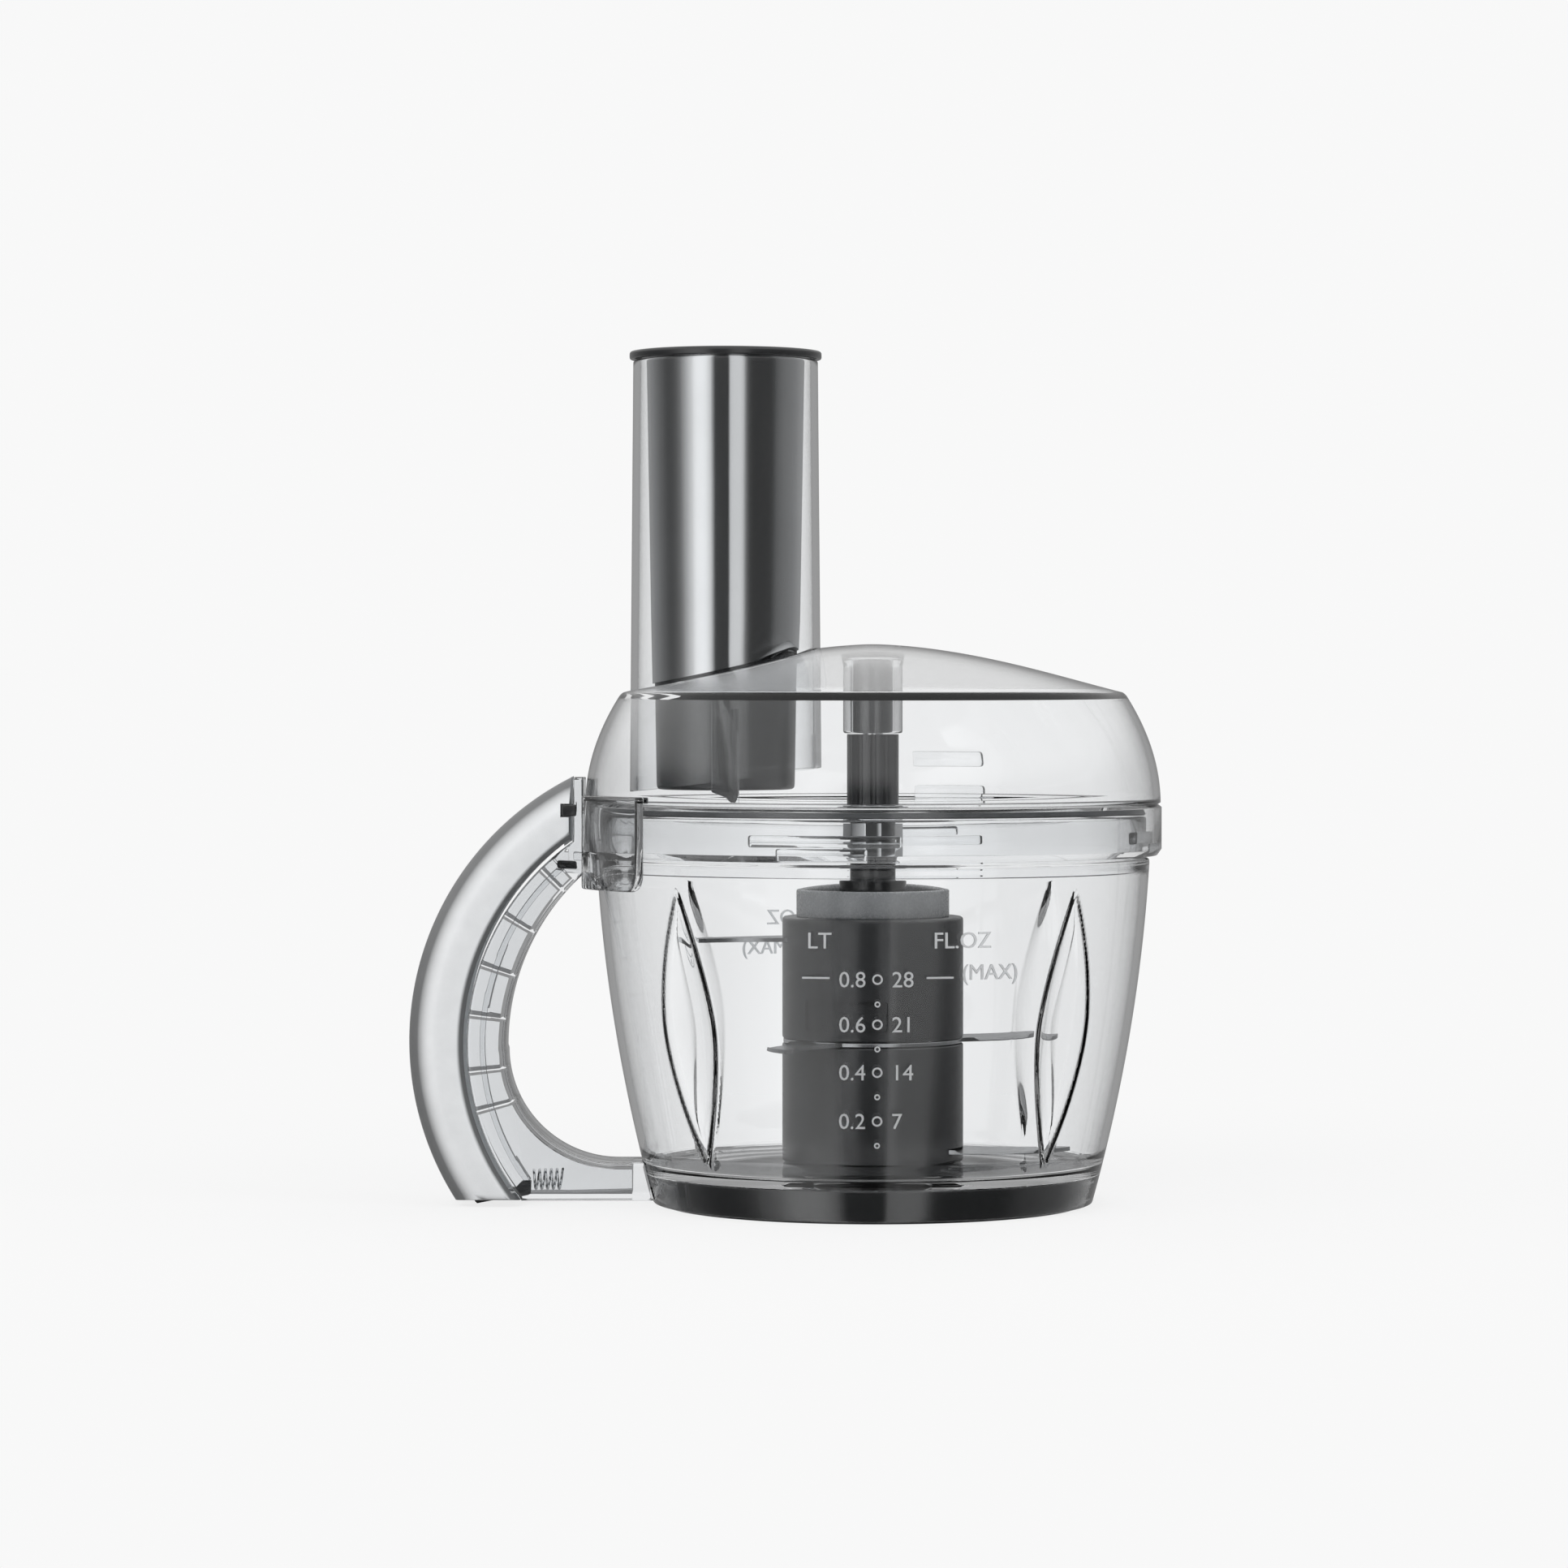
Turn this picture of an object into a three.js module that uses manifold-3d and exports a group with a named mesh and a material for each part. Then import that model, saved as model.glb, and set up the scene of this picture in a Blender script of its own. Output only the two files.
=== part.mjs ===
import * as THREE from 'three';
import { mergeVertices } from 'three/addons/utils/BufferGeometryUtils.js';
import Module from 'manifold-3d';

// A food processor bowl with its handle, lid, feed tube, pusher and knife set.
// Millimetres, +Z up. The origin is on the bowl's axis in the plane it stands on.
// The handle points to -X and the front is -Y.

const wasm = await Module();
wasm.setup();

// Clearances
const fitGap = 0.3; // between two pieces that meet on a curved or cut face
const runningGap = 0.4; // between a turning piece and what it turns in
const lidClearance = 0.8; // from the lid's rim to the fixed pieces around it

// Facets
const wideSegments = 40;
const midSegments = 24;
const smallSegments = 16;

// Bowl
const bowlBaseRadius = 65.3;
const bowlShoulderRadius = 82.4;
const bowlShoulderHeight = 102.5;
const bowlBulge = 2.8;
const bowlWall = 2.2;
const shoulderDrop = 4; // the inner wall bends in to the rim this far below the shoulder
const skirtHeight = 0.8; // the clear skirt ends this far above the table
const floorTop = 12.8;
const floorThickness = 2.4;
const rimSetIn = 1.0;
const rimHeight = 14;
const columnRadius = 20;
const columnTop = 66;
const columnCap = 4;
const columnClearance = 4.2; // between the column and the hub around it
const fluteCount = 4;
const fluteLow = 17;
const fluteHigh = 94;
const fluteHalfWidth = 12;
const fluteDepth = 8;
const fluteOffset = 4.2;
const fluteStretch = 0.6; // half the scoop's length, as a share of the flute's length

// Bayonet between bowl and lid
const lugCount = 4;
const bowlLugStart = 244;
const bowlLugEnd = 274.6;
const lidLugStart = 250;
const lidLugEnd = 268;
const bowlLugTop = bowlShoulderHeight + 9.6;
const lugHeight = 3.4;
const lugReach = 2.0;

// Lid
const lidRadius = bowlShoulderRadius + 3.6;
const lidWall = 2.0;
const lidLowEdge = bowlShoulderHeight + 1.9;
const lidEdgeRound = 4; // height of the slight inward slope at the lower edge
const lidCrease = lidLowEdge + 15.1;
const lidCreaseStep = 0.3;
const lidCreaseDrop = 5;
const lidTopRadius = lidRadius - 11;
const lidTopEdge = lidCrease + 33;
const domeHeight = 14.5;
const domeThickness = 2.2;
const ledgeThickness = 1.5;
const sealHeight = 2.2;
const bossBoreRadius = 6.3;
const bossRadius = bossBoreRadius + 2.55;
const bossLow = lidTopEdge - 12.5;
const bossRoof = 4.4;

// Lid grip tab and cam
const tabRadius = lidRadius + 4;
const tabThickness = 2.8;
const tabLow = lidLowEdge - 9.4;
const tabTop = lidLowEdge + 18;
const tabStart = 197;
const tabEnd = 220;
const tabFlange = 1.8;
const tabRoot = 1.5; // how far the tab's flange and the cam are set into the lid's wall
const stopAngle = 4;
const stopLow = lidLowEdge - 4.4;
const stopTop = lidLowEdge + 1.6;
const camHalfAngle = 2.5;
const camReach = 3.1; // past the lid's wall
const camDrop = 1.8; // below the lid's lower edge
const camHeight = 2.3;

// Feed tube
const feedTubeTop = lidTopEdge + 98.9;
const feedTubeInset = 2.5; // from the tube's outer side to the edge of the lid's top
const bossClearance = 6.45; // from the tube's inner side to the boss
const feedTubeRoom = (lidTopRadius - feedTubeInset - bossClearance - bossRadius) / 2;
const feedTubeLowRadius = Math.min(28.6, feedTubeRoom);
const feedTubeTopRadius = feedTubeLowRadius - 1.1;
const feedTubeX = -(lidTopRadius - feedTubeLowRadius - feedTubeInset);
const feedTubeWall = 2.2;
const tubeHoleDepth = 4.5; // below the lid's top edge
const chuteLow = lidTopEdge - 29.5;
const chuteSlant = 7; // the lower end rises this much from left to right
const finThickness = 1.4;
const finReach = 8;
const finOffset = 3; // to the right of the tube's axis
const finLow = chuteLow - 2.5;
const finDrop = 3; // below the dome's underside at the lid's edge

// Pusher
const pusherGap = 1.8; // between the pusher's flared top and the tube
const pusherTopRadius = feedTubeTopRadius - feedTubeWall - pusherGap;
const pusherTaper = 0.0165; // radius lost per millimetre of height
const sleeveThickness = 0.5;
const pusherWall = 2;
const pusherLift = 0.6; // the pusher ends this far above the chute's lowest point
const flangeThickness = 2.4;
const flangeOverhang = 1.1;

// Drive through the bowl
const spindleRadius = 4.5;
const bushWall = 1.9;
const bushReach = 3; // the bush's sleeve past its flange
const bushFlange = 1.2;
const bushFlangeReach = 1.8;
const couplingRadius = 14;
const couplingBottom = 0.4;
const couplingFloor = 2;
const couplingHeight = 6.2;
const couplingTeeth = 6;
const toothGrooveRadius = 3.4;
const washerThickness = 0.7;
const washerRadius = spindleRadius + 4.5;
const collarWall = 2.6;
const collarWeb = 2.2;
const clipThickness = 1;
const clipReach = 3;
const sealThickness = 1.7;
const sealReach = 2; // past the bush's wall

// Knife set
const hubWall = 2.8;
const hubRadius = columnRadius + columnClearance + hubWall;
const hubLow = floorTop + runningGap;
const hubSplit = hubLow + 35;
const hubTop = columnTop + 20;
const hubWeb = 2.6;
const hubCollarRadius = hubRadius - 4.2;
const hubCollarTop = hubTop + 8;
const hubCollarWall = 2.4;
const socketRadius = spindleRadius + 4;
const socketLow = columnTop + 4.5;
const spindleTop = hubTop - 4;
const pocketDepth = 1.2;
const pocketLow = hubSplit + 4.8;
const pocketHeight = 9;
const pocketStart = 215;
const pocketEnd = 285;
const bladeThickness = 1.2;
const bladeTang = 4.2;
const bladeTipSweep = 12.75; // how far the tip is swept back
const bladeTipWidth = 3;
const bladeOverlap = 2; // of a middle wing onto its plate
const upperBladeHeight = hubTop - 7.4;
const lowerBladeHeight = hubLow + 3;
const upperBladeRadius = 55.6;
const middleBladeRadius = 58.5;
const lowerBladeRadius = 58.5;
const upperBladeAngle = 180;
const middleBladeAngles = [231, 18];
const lowerBladeAngle = -16;
const bladeRootWidth = 17;

// Stem above the knife
const connectorRadius = 10;
const connectorTop = hubTop + 14;
const neckRadius = 6.8;
const neckTop = connectorTop + 8.6;
const nutAcrossCorners = 18.4;
const nutHeight = 7.7;
const stemRingRadius = 10.6;
const stemRingHeight = 1;
const stemRadius = 7.75;
const stemTop = bossLow - fitGap;
const stemRibs = 12;
const stemRibGroove = 0.9;
const stemRibRise = 2; // the grooves start this far above the stem's foot
const pinRadius = 3;
const pinTop = bossLow + 18;
const pinDepth = 6; // how far the pin is set into the nut

// Handle, drawn in the XZ plane
const handleBottom = 1.8;
const handleCentre = { x: -(bowlShoulderRadius - 32.4), z: bowlShoulderHeight / 2 - 2.25 };
const coverHalfDepth = 13;
const coverWall = 2.2;
const coverRound = 4;
const coverOuterArc = { ...handleCentre, radius: handleCentre.z + 39 };
const coverInnerArc = { x: handleCentre.x + 3, z: handleCentre.z - 1, radius: handleCentre.z + 25 };
const coverTopX = -(lidRadius + 3.5);
const frameHalfDepth = 11.5;
const frameWall = 2;
const fingerArc = { x: handleCentre.x + 9.7, z: handleCentre.z - 2, radius: handleCentre.z + 20 };
const armTop = handleBottom + 11.2;
const elbowArc = { x: handleCentre.x - 26, z: handleCentre.z - 3, radius: handleCentre.z - 3 - armTop };
const frameTopDrop = 0.4;
const frameRoot = 5; // solid part of the arm where it meets the bowl
const ribRises = [48, 35, 21, 7, -9, -20]; // above the handle's centre
const ribThickness = 1.2;
const clipLength = 4.4;
const clipHeight = 3.4;
const clipDepth = 2.6;
const clipSetBack = 0.7; // the clip's middle is behind the cover's end
const clipDrop = 9.54; // and below its top

// Safety link inside the handle
const linkArc = { x: handleCentre.x + 4, z: handleCentre.z - 1, radius: handleCentre.z + 21 };
const linkThickness = 1.6;
const linkHalfWidth = 4;
const linkTopHeight = lidLowEdge - camDrop - 2.8;
const linkTravel = 2.2; // degrees about the link's arc
const linkLowHeight = handleBottom + 5.7;
const headHalfWidth = 2.4;
const headOverlap = 0.82; // how far the head reaches under the cam
const headHeight = 2.2;
const footHalfWidth = 2.5;
const tipReach = 16;
const tipBack = 1.2; // from the link's centre line towards the spring
const tipLow = 0.2;
const tipSlotHeight = 4.5;
const channelStep = 4; // the channel's floor starts this far inside the cover
const linkClearance = 0.6;
const linkRoof = 0.4; // the channel ends this far above the link

// Spring
const springRadius = 2.7;
const springWire = 0.75;
const springTurns = 5;
const springLength = 9.4;
const springHeight = handleBottom + 5.6;
const springSides = 6;
const springStepsPerTurn = 10;
const springSeatThickness = 1.6;

const degrees = Math.PI / 180;
const weldDistance = 0.0005;
const cutMargin = 5; // how far a cutting piece passes what it cuts

function surface(color, roughness, metalness, opacity = 1) {
  return new THREE.MeshStandardMaterial({
    color,
    roughness,
    metalness,
    opacity,
    transparent: opacity < 1,
  });
}

const clearPlastic = surface(0xdfe3e5, 0.08, 0, 0.35);
const satinSilver = surface(0xc4c6c8, 0.35, 0.6);
const darkPlastic = surface(0x3a3c3e, 0.45, 0);
const darkGloss = surface(0x232426, 0.15, 0);
const steel = surface(0xb9bcbf, 0.2, 1);
const rubber = surface(0x55585b, 0.8, 0);

// Solids from geometry

function toSolid(geometry) {
  const bare = geometry.index ? geometry.toNonIndexed() : geometry.clone();
  bare.deleteAttribute('normal');
  bare.deleteAttribute('uv');
  const merged = mergeVertices(bare, weldDistance);
  const corners = merged.index.array;
  const kept = [];
  for (let i = 0; i < corners.length; i += 3) {
    const [a, b, c] = [corners[i], corners[i + 1], corners[i + 2]];
    if (a !== b && b !== c && c !== a) kept.push(a, b, c);
  }
  const vertProperties = merged.attributes.position.array;
  const made = new wasm.Manifold(
    new wasm.Mesh({ numProp: 3, vertProperties, triVerts: new Uint32Array(kept) }),
  );
  if (made.volume() > 0) return made;
  for (let i = 0; i < kept.length; i += 3) [kept[i], kept[i + 1]] = [kept[i + 1], kept[i]];
  return new wasm.Manifold(
    new wasm.Mesh({ numProp: 3, vertProperties, triVerts: new Uint32Array(kept) }),
  );
}

function toGeometry(solid) {
  const mesh = solid.getMesh();
  const geometry = new THREE.BufferGeometry();
  geometry.setAttribute('position', new THREE.BufferAttribute(new Float32Array(mesh.vertProperties), 3));
  geometry.setIndex(new THREE.BufferAttribute(new Uint32Array(mesh.triVerts), 1));
  const flat = geometry.toNonIndexed();
  flat.computeVertexNormals();
  return flat;
}

// A profile of [radius, height] points turned about the Z axis. It closes on itself
// unless it starts and ends on the axis.
function turned(profile, segments) {
  const points = profile.map(([radius, height]) => new THREE.Vector2(radius, height));
  const onAxis = points[0].x === 0 && points[points.length - 1].x === 0;
  if (!onAxis) points.push(points[0].clone());
  const geometry = new THREE.LatheGeometry(points, segments);
  geometry.rotateX(Math.PI / 2);
  return toSolid(geometry);
}

function ring(innerRadius, outerRadius, low, high, segments) {
  return turned([[innerRadius, low], [outerRadius, low], [outerRadius, high], [innerRadius, high]], segments);
}

function disc(radius, low, high, segments) {
  return turned([[0, low], [radius, low], [radius, high], [0, high]], segments);
}

function box(x0, x1, y0, y1, z0, z1) {
  const geometry = new THREE.BoxGeometry(x1 - x0, y1 - y0, z1 - z0);
  geometry.translate((x0 + x1) / 2, (y0 + y1) / 2, (z0 + z1) / 2);
  return toSolid(geometry);
}

// Part of a ring between two angles, in degrees from +X towards +Y
function ringPart(innerRadius, outerRadius, low, high, startAngle, endAngle) {
  const steps = Math.max(2, Math.ceil((endAngle - startAngle) / 5));
  const outline = new THREE.Shape([
    ...arcPoints({ x: 0, z: 0, radius: outerRadius }, startAngle, endAngle, steps),
    ...arcPoints({ x: 0, z: 0, radius: innerRadius }, endAngle, startAngle, steps),
  ]);
  const geometry = new THREE.ExtrudeGeometry(outline, { depth: high - low, bevelEnabled: false });
  geometry.translate(0, 0, low);
  return toSolid(geometry);
}

function arcPoints(arc, startAngle, endAngle, steps) {
  const points = [];
  for (let i = 0; i <= steps; i++) {
    const angle = (startAngle + ((endAngle - startAngle) * i) / steps) * degrees;
    const x = arc.x + arc.radius * Math.cos(angle);
    const z = arc.z + arc.radius * Math.sin(angle);
    points.push(new THREE.Vector2(x, z));
  }
  return points;
}

// Where an arc on the -X side of its centre crosses a height, or an X: the angle in degrees
function angleAtHeight(arc, height) {
  return 180 - Math.asin((height - arc.z) / arc.radius) / degrees;
}

function angleAtX(arc, x) {
  return Math.acos((x - arc.x) / arc.radius) / degrees;
}

function xAtHeight(arc, height) {
  return arc.x - Math.sqrt(arc.radius ** 2 - (height - arc.z) ** 2);
}

// An outline in the XZ plane made thick along Y, evenly to both sides
function slab(outline, halfDepth, round = 0, roundSteps = 1) {
  const geometry = new THREE.ExtrudeGeometry(new THREE.Shape(outline), {
    depth: 2 * (halfDepth - round),
    bevelEnabled: round > 0,
    bevelThickness: round,
    bevelSize: round,
    bevelOffset: -round,
    bevelSegments: roundSteps,
  });
  geometry.rotateX(Math.PI / 2);
  geometry.translate(0, halfDepth - round, 0);
  return toSolid(geometry);
}

function point(x, z) {
  return new THREE.Vector2(x, z);
}

function spread(count, make) {
  return Array.from({ length: count }, (_, i) => make(i));
}

function joined(solids) {
  return solids.reduce((whole, next) => whole.add(next));
}

function mesh(name, solid, material) {
  const made = new THREE.Mesh(toGeometry(solid), material);
  made.name = name;
  return made;
}

// Bowl

function bowlRadiusAt(height) {
  const share = height / bowlShoulderHeight;
  return (
    bowlBaseRadius +
    (bowlShoulderRadius - bowlBaseRadius) * share +
    4 * bowlBulge * share * (1 - share)
  );
}

function bowlWallPoints(offset, low, high, steps) {
  return spread(steps + 1, (i) => {
    const height = low + ((high - low) * i) / steps;
    return [bowlRadiusAt(height) + offset, height];
  });
}

const rimRadius = bowlShoulderRadius - rimSetIn;
const rimTop = bowlShoulderHeight + rimHeight;
const floorUnderside = floorTop - floorThickness;
const bushHoleRadius = spindleRadius + runningGap + bushWall + fitGap;
const wallSteps = 5;

function flute(grow) {
  const middle = (fluteLow + fluteHigh) / 2;
  const tilt = Math.atan2(bowlRadiusAt(fluteHigh) - bowlRadiusAt(fluteLow), fluteHigh - fluteLow);
  const geometry = new THREE.SphereGeometry(1, 10, 8);
  geometry.rotateX(Math.PI / 2);
  geometry.scale(fluteDepth + grow, fluteHalfWidth + grow, (fluteHigh - fluteLow) * fluteStretch + grow);
  geometry.rotateY(tilt);
  geometry.translate(bowlRadiusAt(middle) + fluteOffset, 0, middle);
  return toSolid(geometry);
}

function aroundBowl(solid, count, firstAngle) {
  return spread(count, (i) => solid.rotate([0, 0, firstAngle + (360 / count) * i]));
}

function bowlShell() {
  const shell = turned(
    [
      ...bowlWallPoints(0, skirtHeight, bowlShoulderHeight, wallSteps),
      [rimRadius, bowlShoulderHeight + rimSetIn],
      [rimRadius, rimTop],
      [rimRadius - bowlWall, rimTop],
      [rimRadius - bowlWall, bowlShoulderHeight],
      ...bowlWallPoints(-bowlWall, floorTop, bowlShoulderHeight - shoulderDrop, wallSteps).reverse(),
      [columnRadius, floorTop],
      [columnRadius, columnTop],
      [bushHoleRadius, columnTop],
      [bushHoleRadius, columnTop - columnCap],
      [columnRadius - bowlWall, columnTop - columnCap],
      [columnRadius - bowlWall, floorUnderside],
      [bowlRadiusAt(floorUnderside) - bowlWall, floorUnderside],
      [bowlRadiusAt(skirtHeight) - bowlWall, skirtHeight],
    ],
    wideSegments,
  );
  const filled = turned(
    [[0, 0], ...bowlWallPoints(0, 0, bowlShoulderHeight, wallSteps), [0, bowlShoulderHeight]],
    wideSegments,
  );
  const firstFlute = 180 / fluteCount;
  const inward = joined(aroundBowl(flute(bowlWall), fluteCount, firstFlute)).intersect(filled);
  const dents = joined(aroundBowl(flute(0), fluteCount, firstFlute));
  const lug = ringPart(
    rimRadius - bowlWall / 2,
    rimRadius + lugReach,
    bowlLugTop - lugHeight,
    bowlLugTop,
    bowlLugStart,
    bowlLugEnd,
  );
  return joined([shell.add(inward).subtract(dents), ...aroundBowl(lug, lugCount, 0)]);
}

function baseCollar() {
  const outer = -bowlWall - fitGap;
  const top = floorUnderside - fitGap;
  return turned(
    [
      [bowlRadiusAt(0) + outer, 0],
      [bowlRadiusAt(top) + outer, top],
      [bushHoleRadius, top],
      [bushHoleRadius, top - collarWeb],
      [bowlRadiusAt(0) + outer - collarWall, top - collarWeb],
      [bowlRadiusAt(0) + outer - collarWall, 0],
    ],
    wideSegments,
  );
}

// Drive

const spindleHole = spindleRadius + runningGap;
const webTop = floorUnderside - fitGap;
const webLow = webTop - collarWeb;
const washerLow = webLow - fitGap - washerThickness;
const couplingTop = couplingBottom + couplingHeight;

function bush(low, high, flangeLow) {
  const outer = spindleHole + bushWall;
  return ring(spindleHole, outer, low, high, smallSegments).add(
    ring(spindleHole, outer + bushFlangeReach, flangeLow, flangeLow + bushFlange, smallSegments),
  );
}

function lowerBush() {
  return bush(webLow, webTop + fitGap + bushFlange + bushReach, webTop + fitGap);
}

function upperBush() {
  const flangeLow = columnTop - columnCap - fitGap - bushFlange;
  return bush(flangeLow - bushReach, columnTop, flangeLow);
}

function shaftSeal() {
  const low = columnTop + fitGap;
  return ring(spindleHole, spindleHole + bushWall + sealReach, low, low + sealThickness, smallSegments);
}

function spindle() {
  return disc(spindleRadius, couplingBottom + couplingFloor + fitGap, spindleTop, smallSegments);
}

function spindleClip() {
  const high = columnTop - columnCap - 2 * fitGap - bushFlange - bushReach;
  const inner = spindleRadius + fitGap;
  return ring(inner, spindleRadius + clipReach, high - clipThickness, high, smallSegments);
}

function thrustWasher() {
  return ring(spindleRadius + fitGap, washerRadius, washerLow, washerLow + washerThickness, smallSegments);
}

function driveCoupling() {
  const top = Math.min(couplingTop, washerLow - fitGap);
  const body = disc(couplingRadius, couplingBottom, top, smallSegments);
  const groove = disc(toothGrooveRadius, couplingBottom - 1, top + 1, 12).translate([couplingRadius, 0, 0]);
  const bore = disc(spindleRadius + fitGap, couplingBottom + couplingFloor, top + 1, smallSegments);
  return body.subtract(joined([bore, ...aroundBowl(groove, couplingTeeth, 0)]));
}

// Knife set

const hubInner = hubRadius - hubWall;
const middlePlateLow = hubSplit + fitGap;
const middlePlateTop = middlePlateLow + bladeThickness;
const hubUpperLow = middlePlateTop + fitGap;

function wing(rootRadius, tipRadius, low, angle) {
  const half = bladeRootWidth / 2;
  const reach = tipRadius - rootRadius;
  const outline = new THREE.Shape();
  outline.moveTo(rootRadius, -half);
  outline.quadraticCurveTo(rootRadius + reach * 0.75, -half, tipRadius - 1, bladeTipSweep);
  outline.lineTo(tipRadius - 1 - bladeTipWidth, bladeTipSweep + 1);
  outline.quadraticCurveTo(rootRadius + reach * 0.5, half * 0.7, rootRadius, half);
  const geometry = new THREE.ExtrudeGeometry(outline, {
    depth: bladeThickness,
    bevelEnabled: false,
    curveSegments: 8,
  });
  geometry.translate(0, 0, low);
  return toSolid(geometry).rotate([0, 0, angle]);
}

function bladeSlot(low, angle) {
  const half = bladeRootWidth / 2 + fitGap;
  const high = low + bladeThickness + fitGap;
  return box(0, hubRadius * 2, -half, half, low - fitGap, high).rotate([0, 0, angle]);
}

function hubLower() {
  const wall = ring(hubInner, hubRadius, hubLow, hubSplit, midSegments);
  return wall.subtract(bladeSlot(lowerBladeHeight, lowerBladeAngle));
}

function hubUpper() {
  const shell = turned(
    [
      [0, hubTop],
      [hubRadius, hubTop],
      [hubRadius, hubUpperLow],
      [hubInner, hubUpperLow],
      [hubInner, hubTop - hubWeb],
      [socketRadius, hubTop - hubWeb],
      [socketRadius, socketLow],
      [spindleRadius + fitGap, socketLow],
      [spindleRadius + fitGap, spindleTop + fitGap],
      [0, spindleTop + fitGap],
    ],
    midSegments,
  );
  const pocket = ringPart(
    hubRadius - pocketDepth,
    hubRadius + 1,
    pocketLow,
    pocketLow + pocketHeight,
    pocketStart,
    pocketEnd,
  );
  const slot = bladeSlot(upperBladeHeight, upperBladeAngle).subtract(
    disc(socketRadius + 1, 0, hubTop, smallSegments),
  );
  return shell.subtract(pocket).subtract(slot);
}

function hubCollar() {
  return ring(hubCollarRadius - hubCollarWall, hubCollarRadius, hubTop, hubCollarTop, midSegments);
}

function middleBlade() {
  const plate = ring(hubInner, hubRadius - fitGap, middlePlateLow, middlePlateTop, midSegments);
  const wings = middleBladeAngles.map((angle) =>
    wing(hubRadius - bladeOverlap, middleBladeRadius, middlePlateLow, angle),
  );
  return joined([plate, ...wings]);
}

function upperBlade() {
  return wing(hubRadius - bladeTang, upperBladeRadius, upperBladeHeight, upperBladeAngle);
}

function lowerBlade() {
  return wing(hubRadius - bladeTang, lowerBladeRadius, lowerBladeHeight, lowerBladeAngle);
}

// Stem

const nutTop = neckTop + nutHeight;
const stemLow = nutTop + stemRingHeight;
const pinHole = pinRadius + fitGap;

function stemConnector() {
  return turned(
    [
      [0, hubTop],
      [connectorRadius, hubTop],
      [connectorRadius, connectorTop],
      [neckRadius, connectorTop],
      [neckRadius, neckTop],
      [0, neckTop],
    ],
    smallSegments,
  );
}

function stemNut() {
  const bore = disc(pinHole, nutTop - pinDepth, nutTop + 1, smallSegments);
  return disc(nutAcrossCorners / 2, neckTop, nutTop, 12).subtract(bore);
}

function stemRing() {
  return ring(pinHole, stemRingRadius, nutTop, stemLow, smallSegments);
}

function discStem() {
  const body = ring(pinHole, stemRadius, stemLow, stemTop, smallSegments);
  const groove = disc(stemRibGroove, stemLow + stemRibRise, stemTop + 1, 6).translate([stemRadius, 0, 0]);
  return body.subtract(joined(aroundBowl(groove, stemRibs, 0)));
}

function stemPin() {
  return disc(pinRadius, nutTop - pinDepth + fitGap, pinTop, smallSegments);
}

// Lid

const domePoints = 6;
const flarePoints = 5;

function domeHeightAt(radius) {
  const share = radius / lidTopRadius;
  return lidTopEdge + domeHeight * (1 - share ** 1.65) * (1 - 0.22 * share ** 3);
}

function flareRadiusAt(height) {
  const share = (height - lidCrease) / (lidTopEdge - lidCrease);
  const widest = lidRadius - lidCreaseStep;
  return widest - (widest - lidTopRadius) * share ** 2;
}

function flareProfile(offset, low, high) {
  return spread(flarePoints + 1, (i) => {
    const height = low + ((high - low) * i) / flarePoints;
    return [flareRadiusAt(height) + offset, height];
  });
}

function domeProfile(drop, from, to) {
  return spread(domePoints + 1, (i) => {
    const radius = from + ((to - from) * i) / domePoints;
    return [radius, domeHeightAt(radius) - drop];
  });
}

const domeTop = domeHeightAt(0);
const ledgeLow = rimTop + 2 * fitGap + sealHeight;
const ledgeTop = ledgeLow + ledgeThickness;
const ledgeInner = rimRadius - bowlWall;
const camLow = lidLowEdge - camDrop;

function feedTubeRadiusAt(height) {
  const share = (feedTubeTop - height) / (feedTubeTop - chuteLow);
  return feedTubeTopRadius + (feedTubeLowRadius - feedTubeTopRadius) * share;
}

function lidCover() {
  const inner = lidRadius - lidWall;
  const shell = turned(
    [
      [0, domeTop],
      ...domeProfile(0, 0, lidTopRadius).slice(1),
      ...flareProfile(0, lidCrease, lidTopEdge).reverse().slice(1),
      [lidRadius, lidCrease - lidCreaseDrop],
      [lidRadius, lidLowEdge + lidEdgeRound],
      [lidRadius - 1, lidLowEdge],
      [inner, lidLowEdge],
      [inner, ledgeLow],
      [ledgeInner, ledgeLow],
      [ledgeInner, ledgeTop],
      ...flareProfile(-lidWall, ledgeTop, lidTopEdge - domeThickness),
      ...domeProfile(domeThickness, bossRadius, lidTopRadius - lidWall - 2).reverse(),
      [bossRadius, bossLow],
      [bossBoreRadius, bossLow],
      [bossBoreRadius, domeTop - bossRoof],
      [0, domeTop - bossRoof],
    ],
    wideSegments,
  );
  const hole = disc(
    feedTubeRadiusAt(lidTopEdge) + fitGap,
    lidTopEdge - tubeHoleDepth,
    domeTop + cutMargin,
    midSegments,
  );
  const lug = ringPart(
    lidRadius - lidWall - lugReach,
    lidRadius - lidWall / 2,
    bowlLugTop - 2 * lugHeight - fitGap,
    bowlLugTop - lugHeight - fitGap,
    lidLugStart,
    lidLugEnd,
  );
  const tab = ringPart(tabRadius - tabThickness, tabRadius, tabLow, tabTop, tabStart, tabEnd);
  const flange = ringPart(lidRadius - tabRoot, tabRadius - 1, tabTop - tabFlange, tabTop, tabStart, tabEnd);
  const stop = ringPart(
    lidRadius - tabRoot,
    tabRadius - 1,
    stopLow,
    stopTop,
    tabStart,
    tabStart + stopAngle,
  );
  const cam = ringPart(
    lidRadius - tabRoot,
    lidRadius + camReach,
    camLow,
    camLow + camHeight,
    180 - camHalfAngle,
    180 + camHalfAngle,
  );
  return joined([
    shell.subtract(hole.translate([feedTubeX, 0, 0])),
    tab,
    flange,
    stop,
    cam,
    ...aroundBowl(lug, lugCount, 0),
  ]);
}

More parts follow.
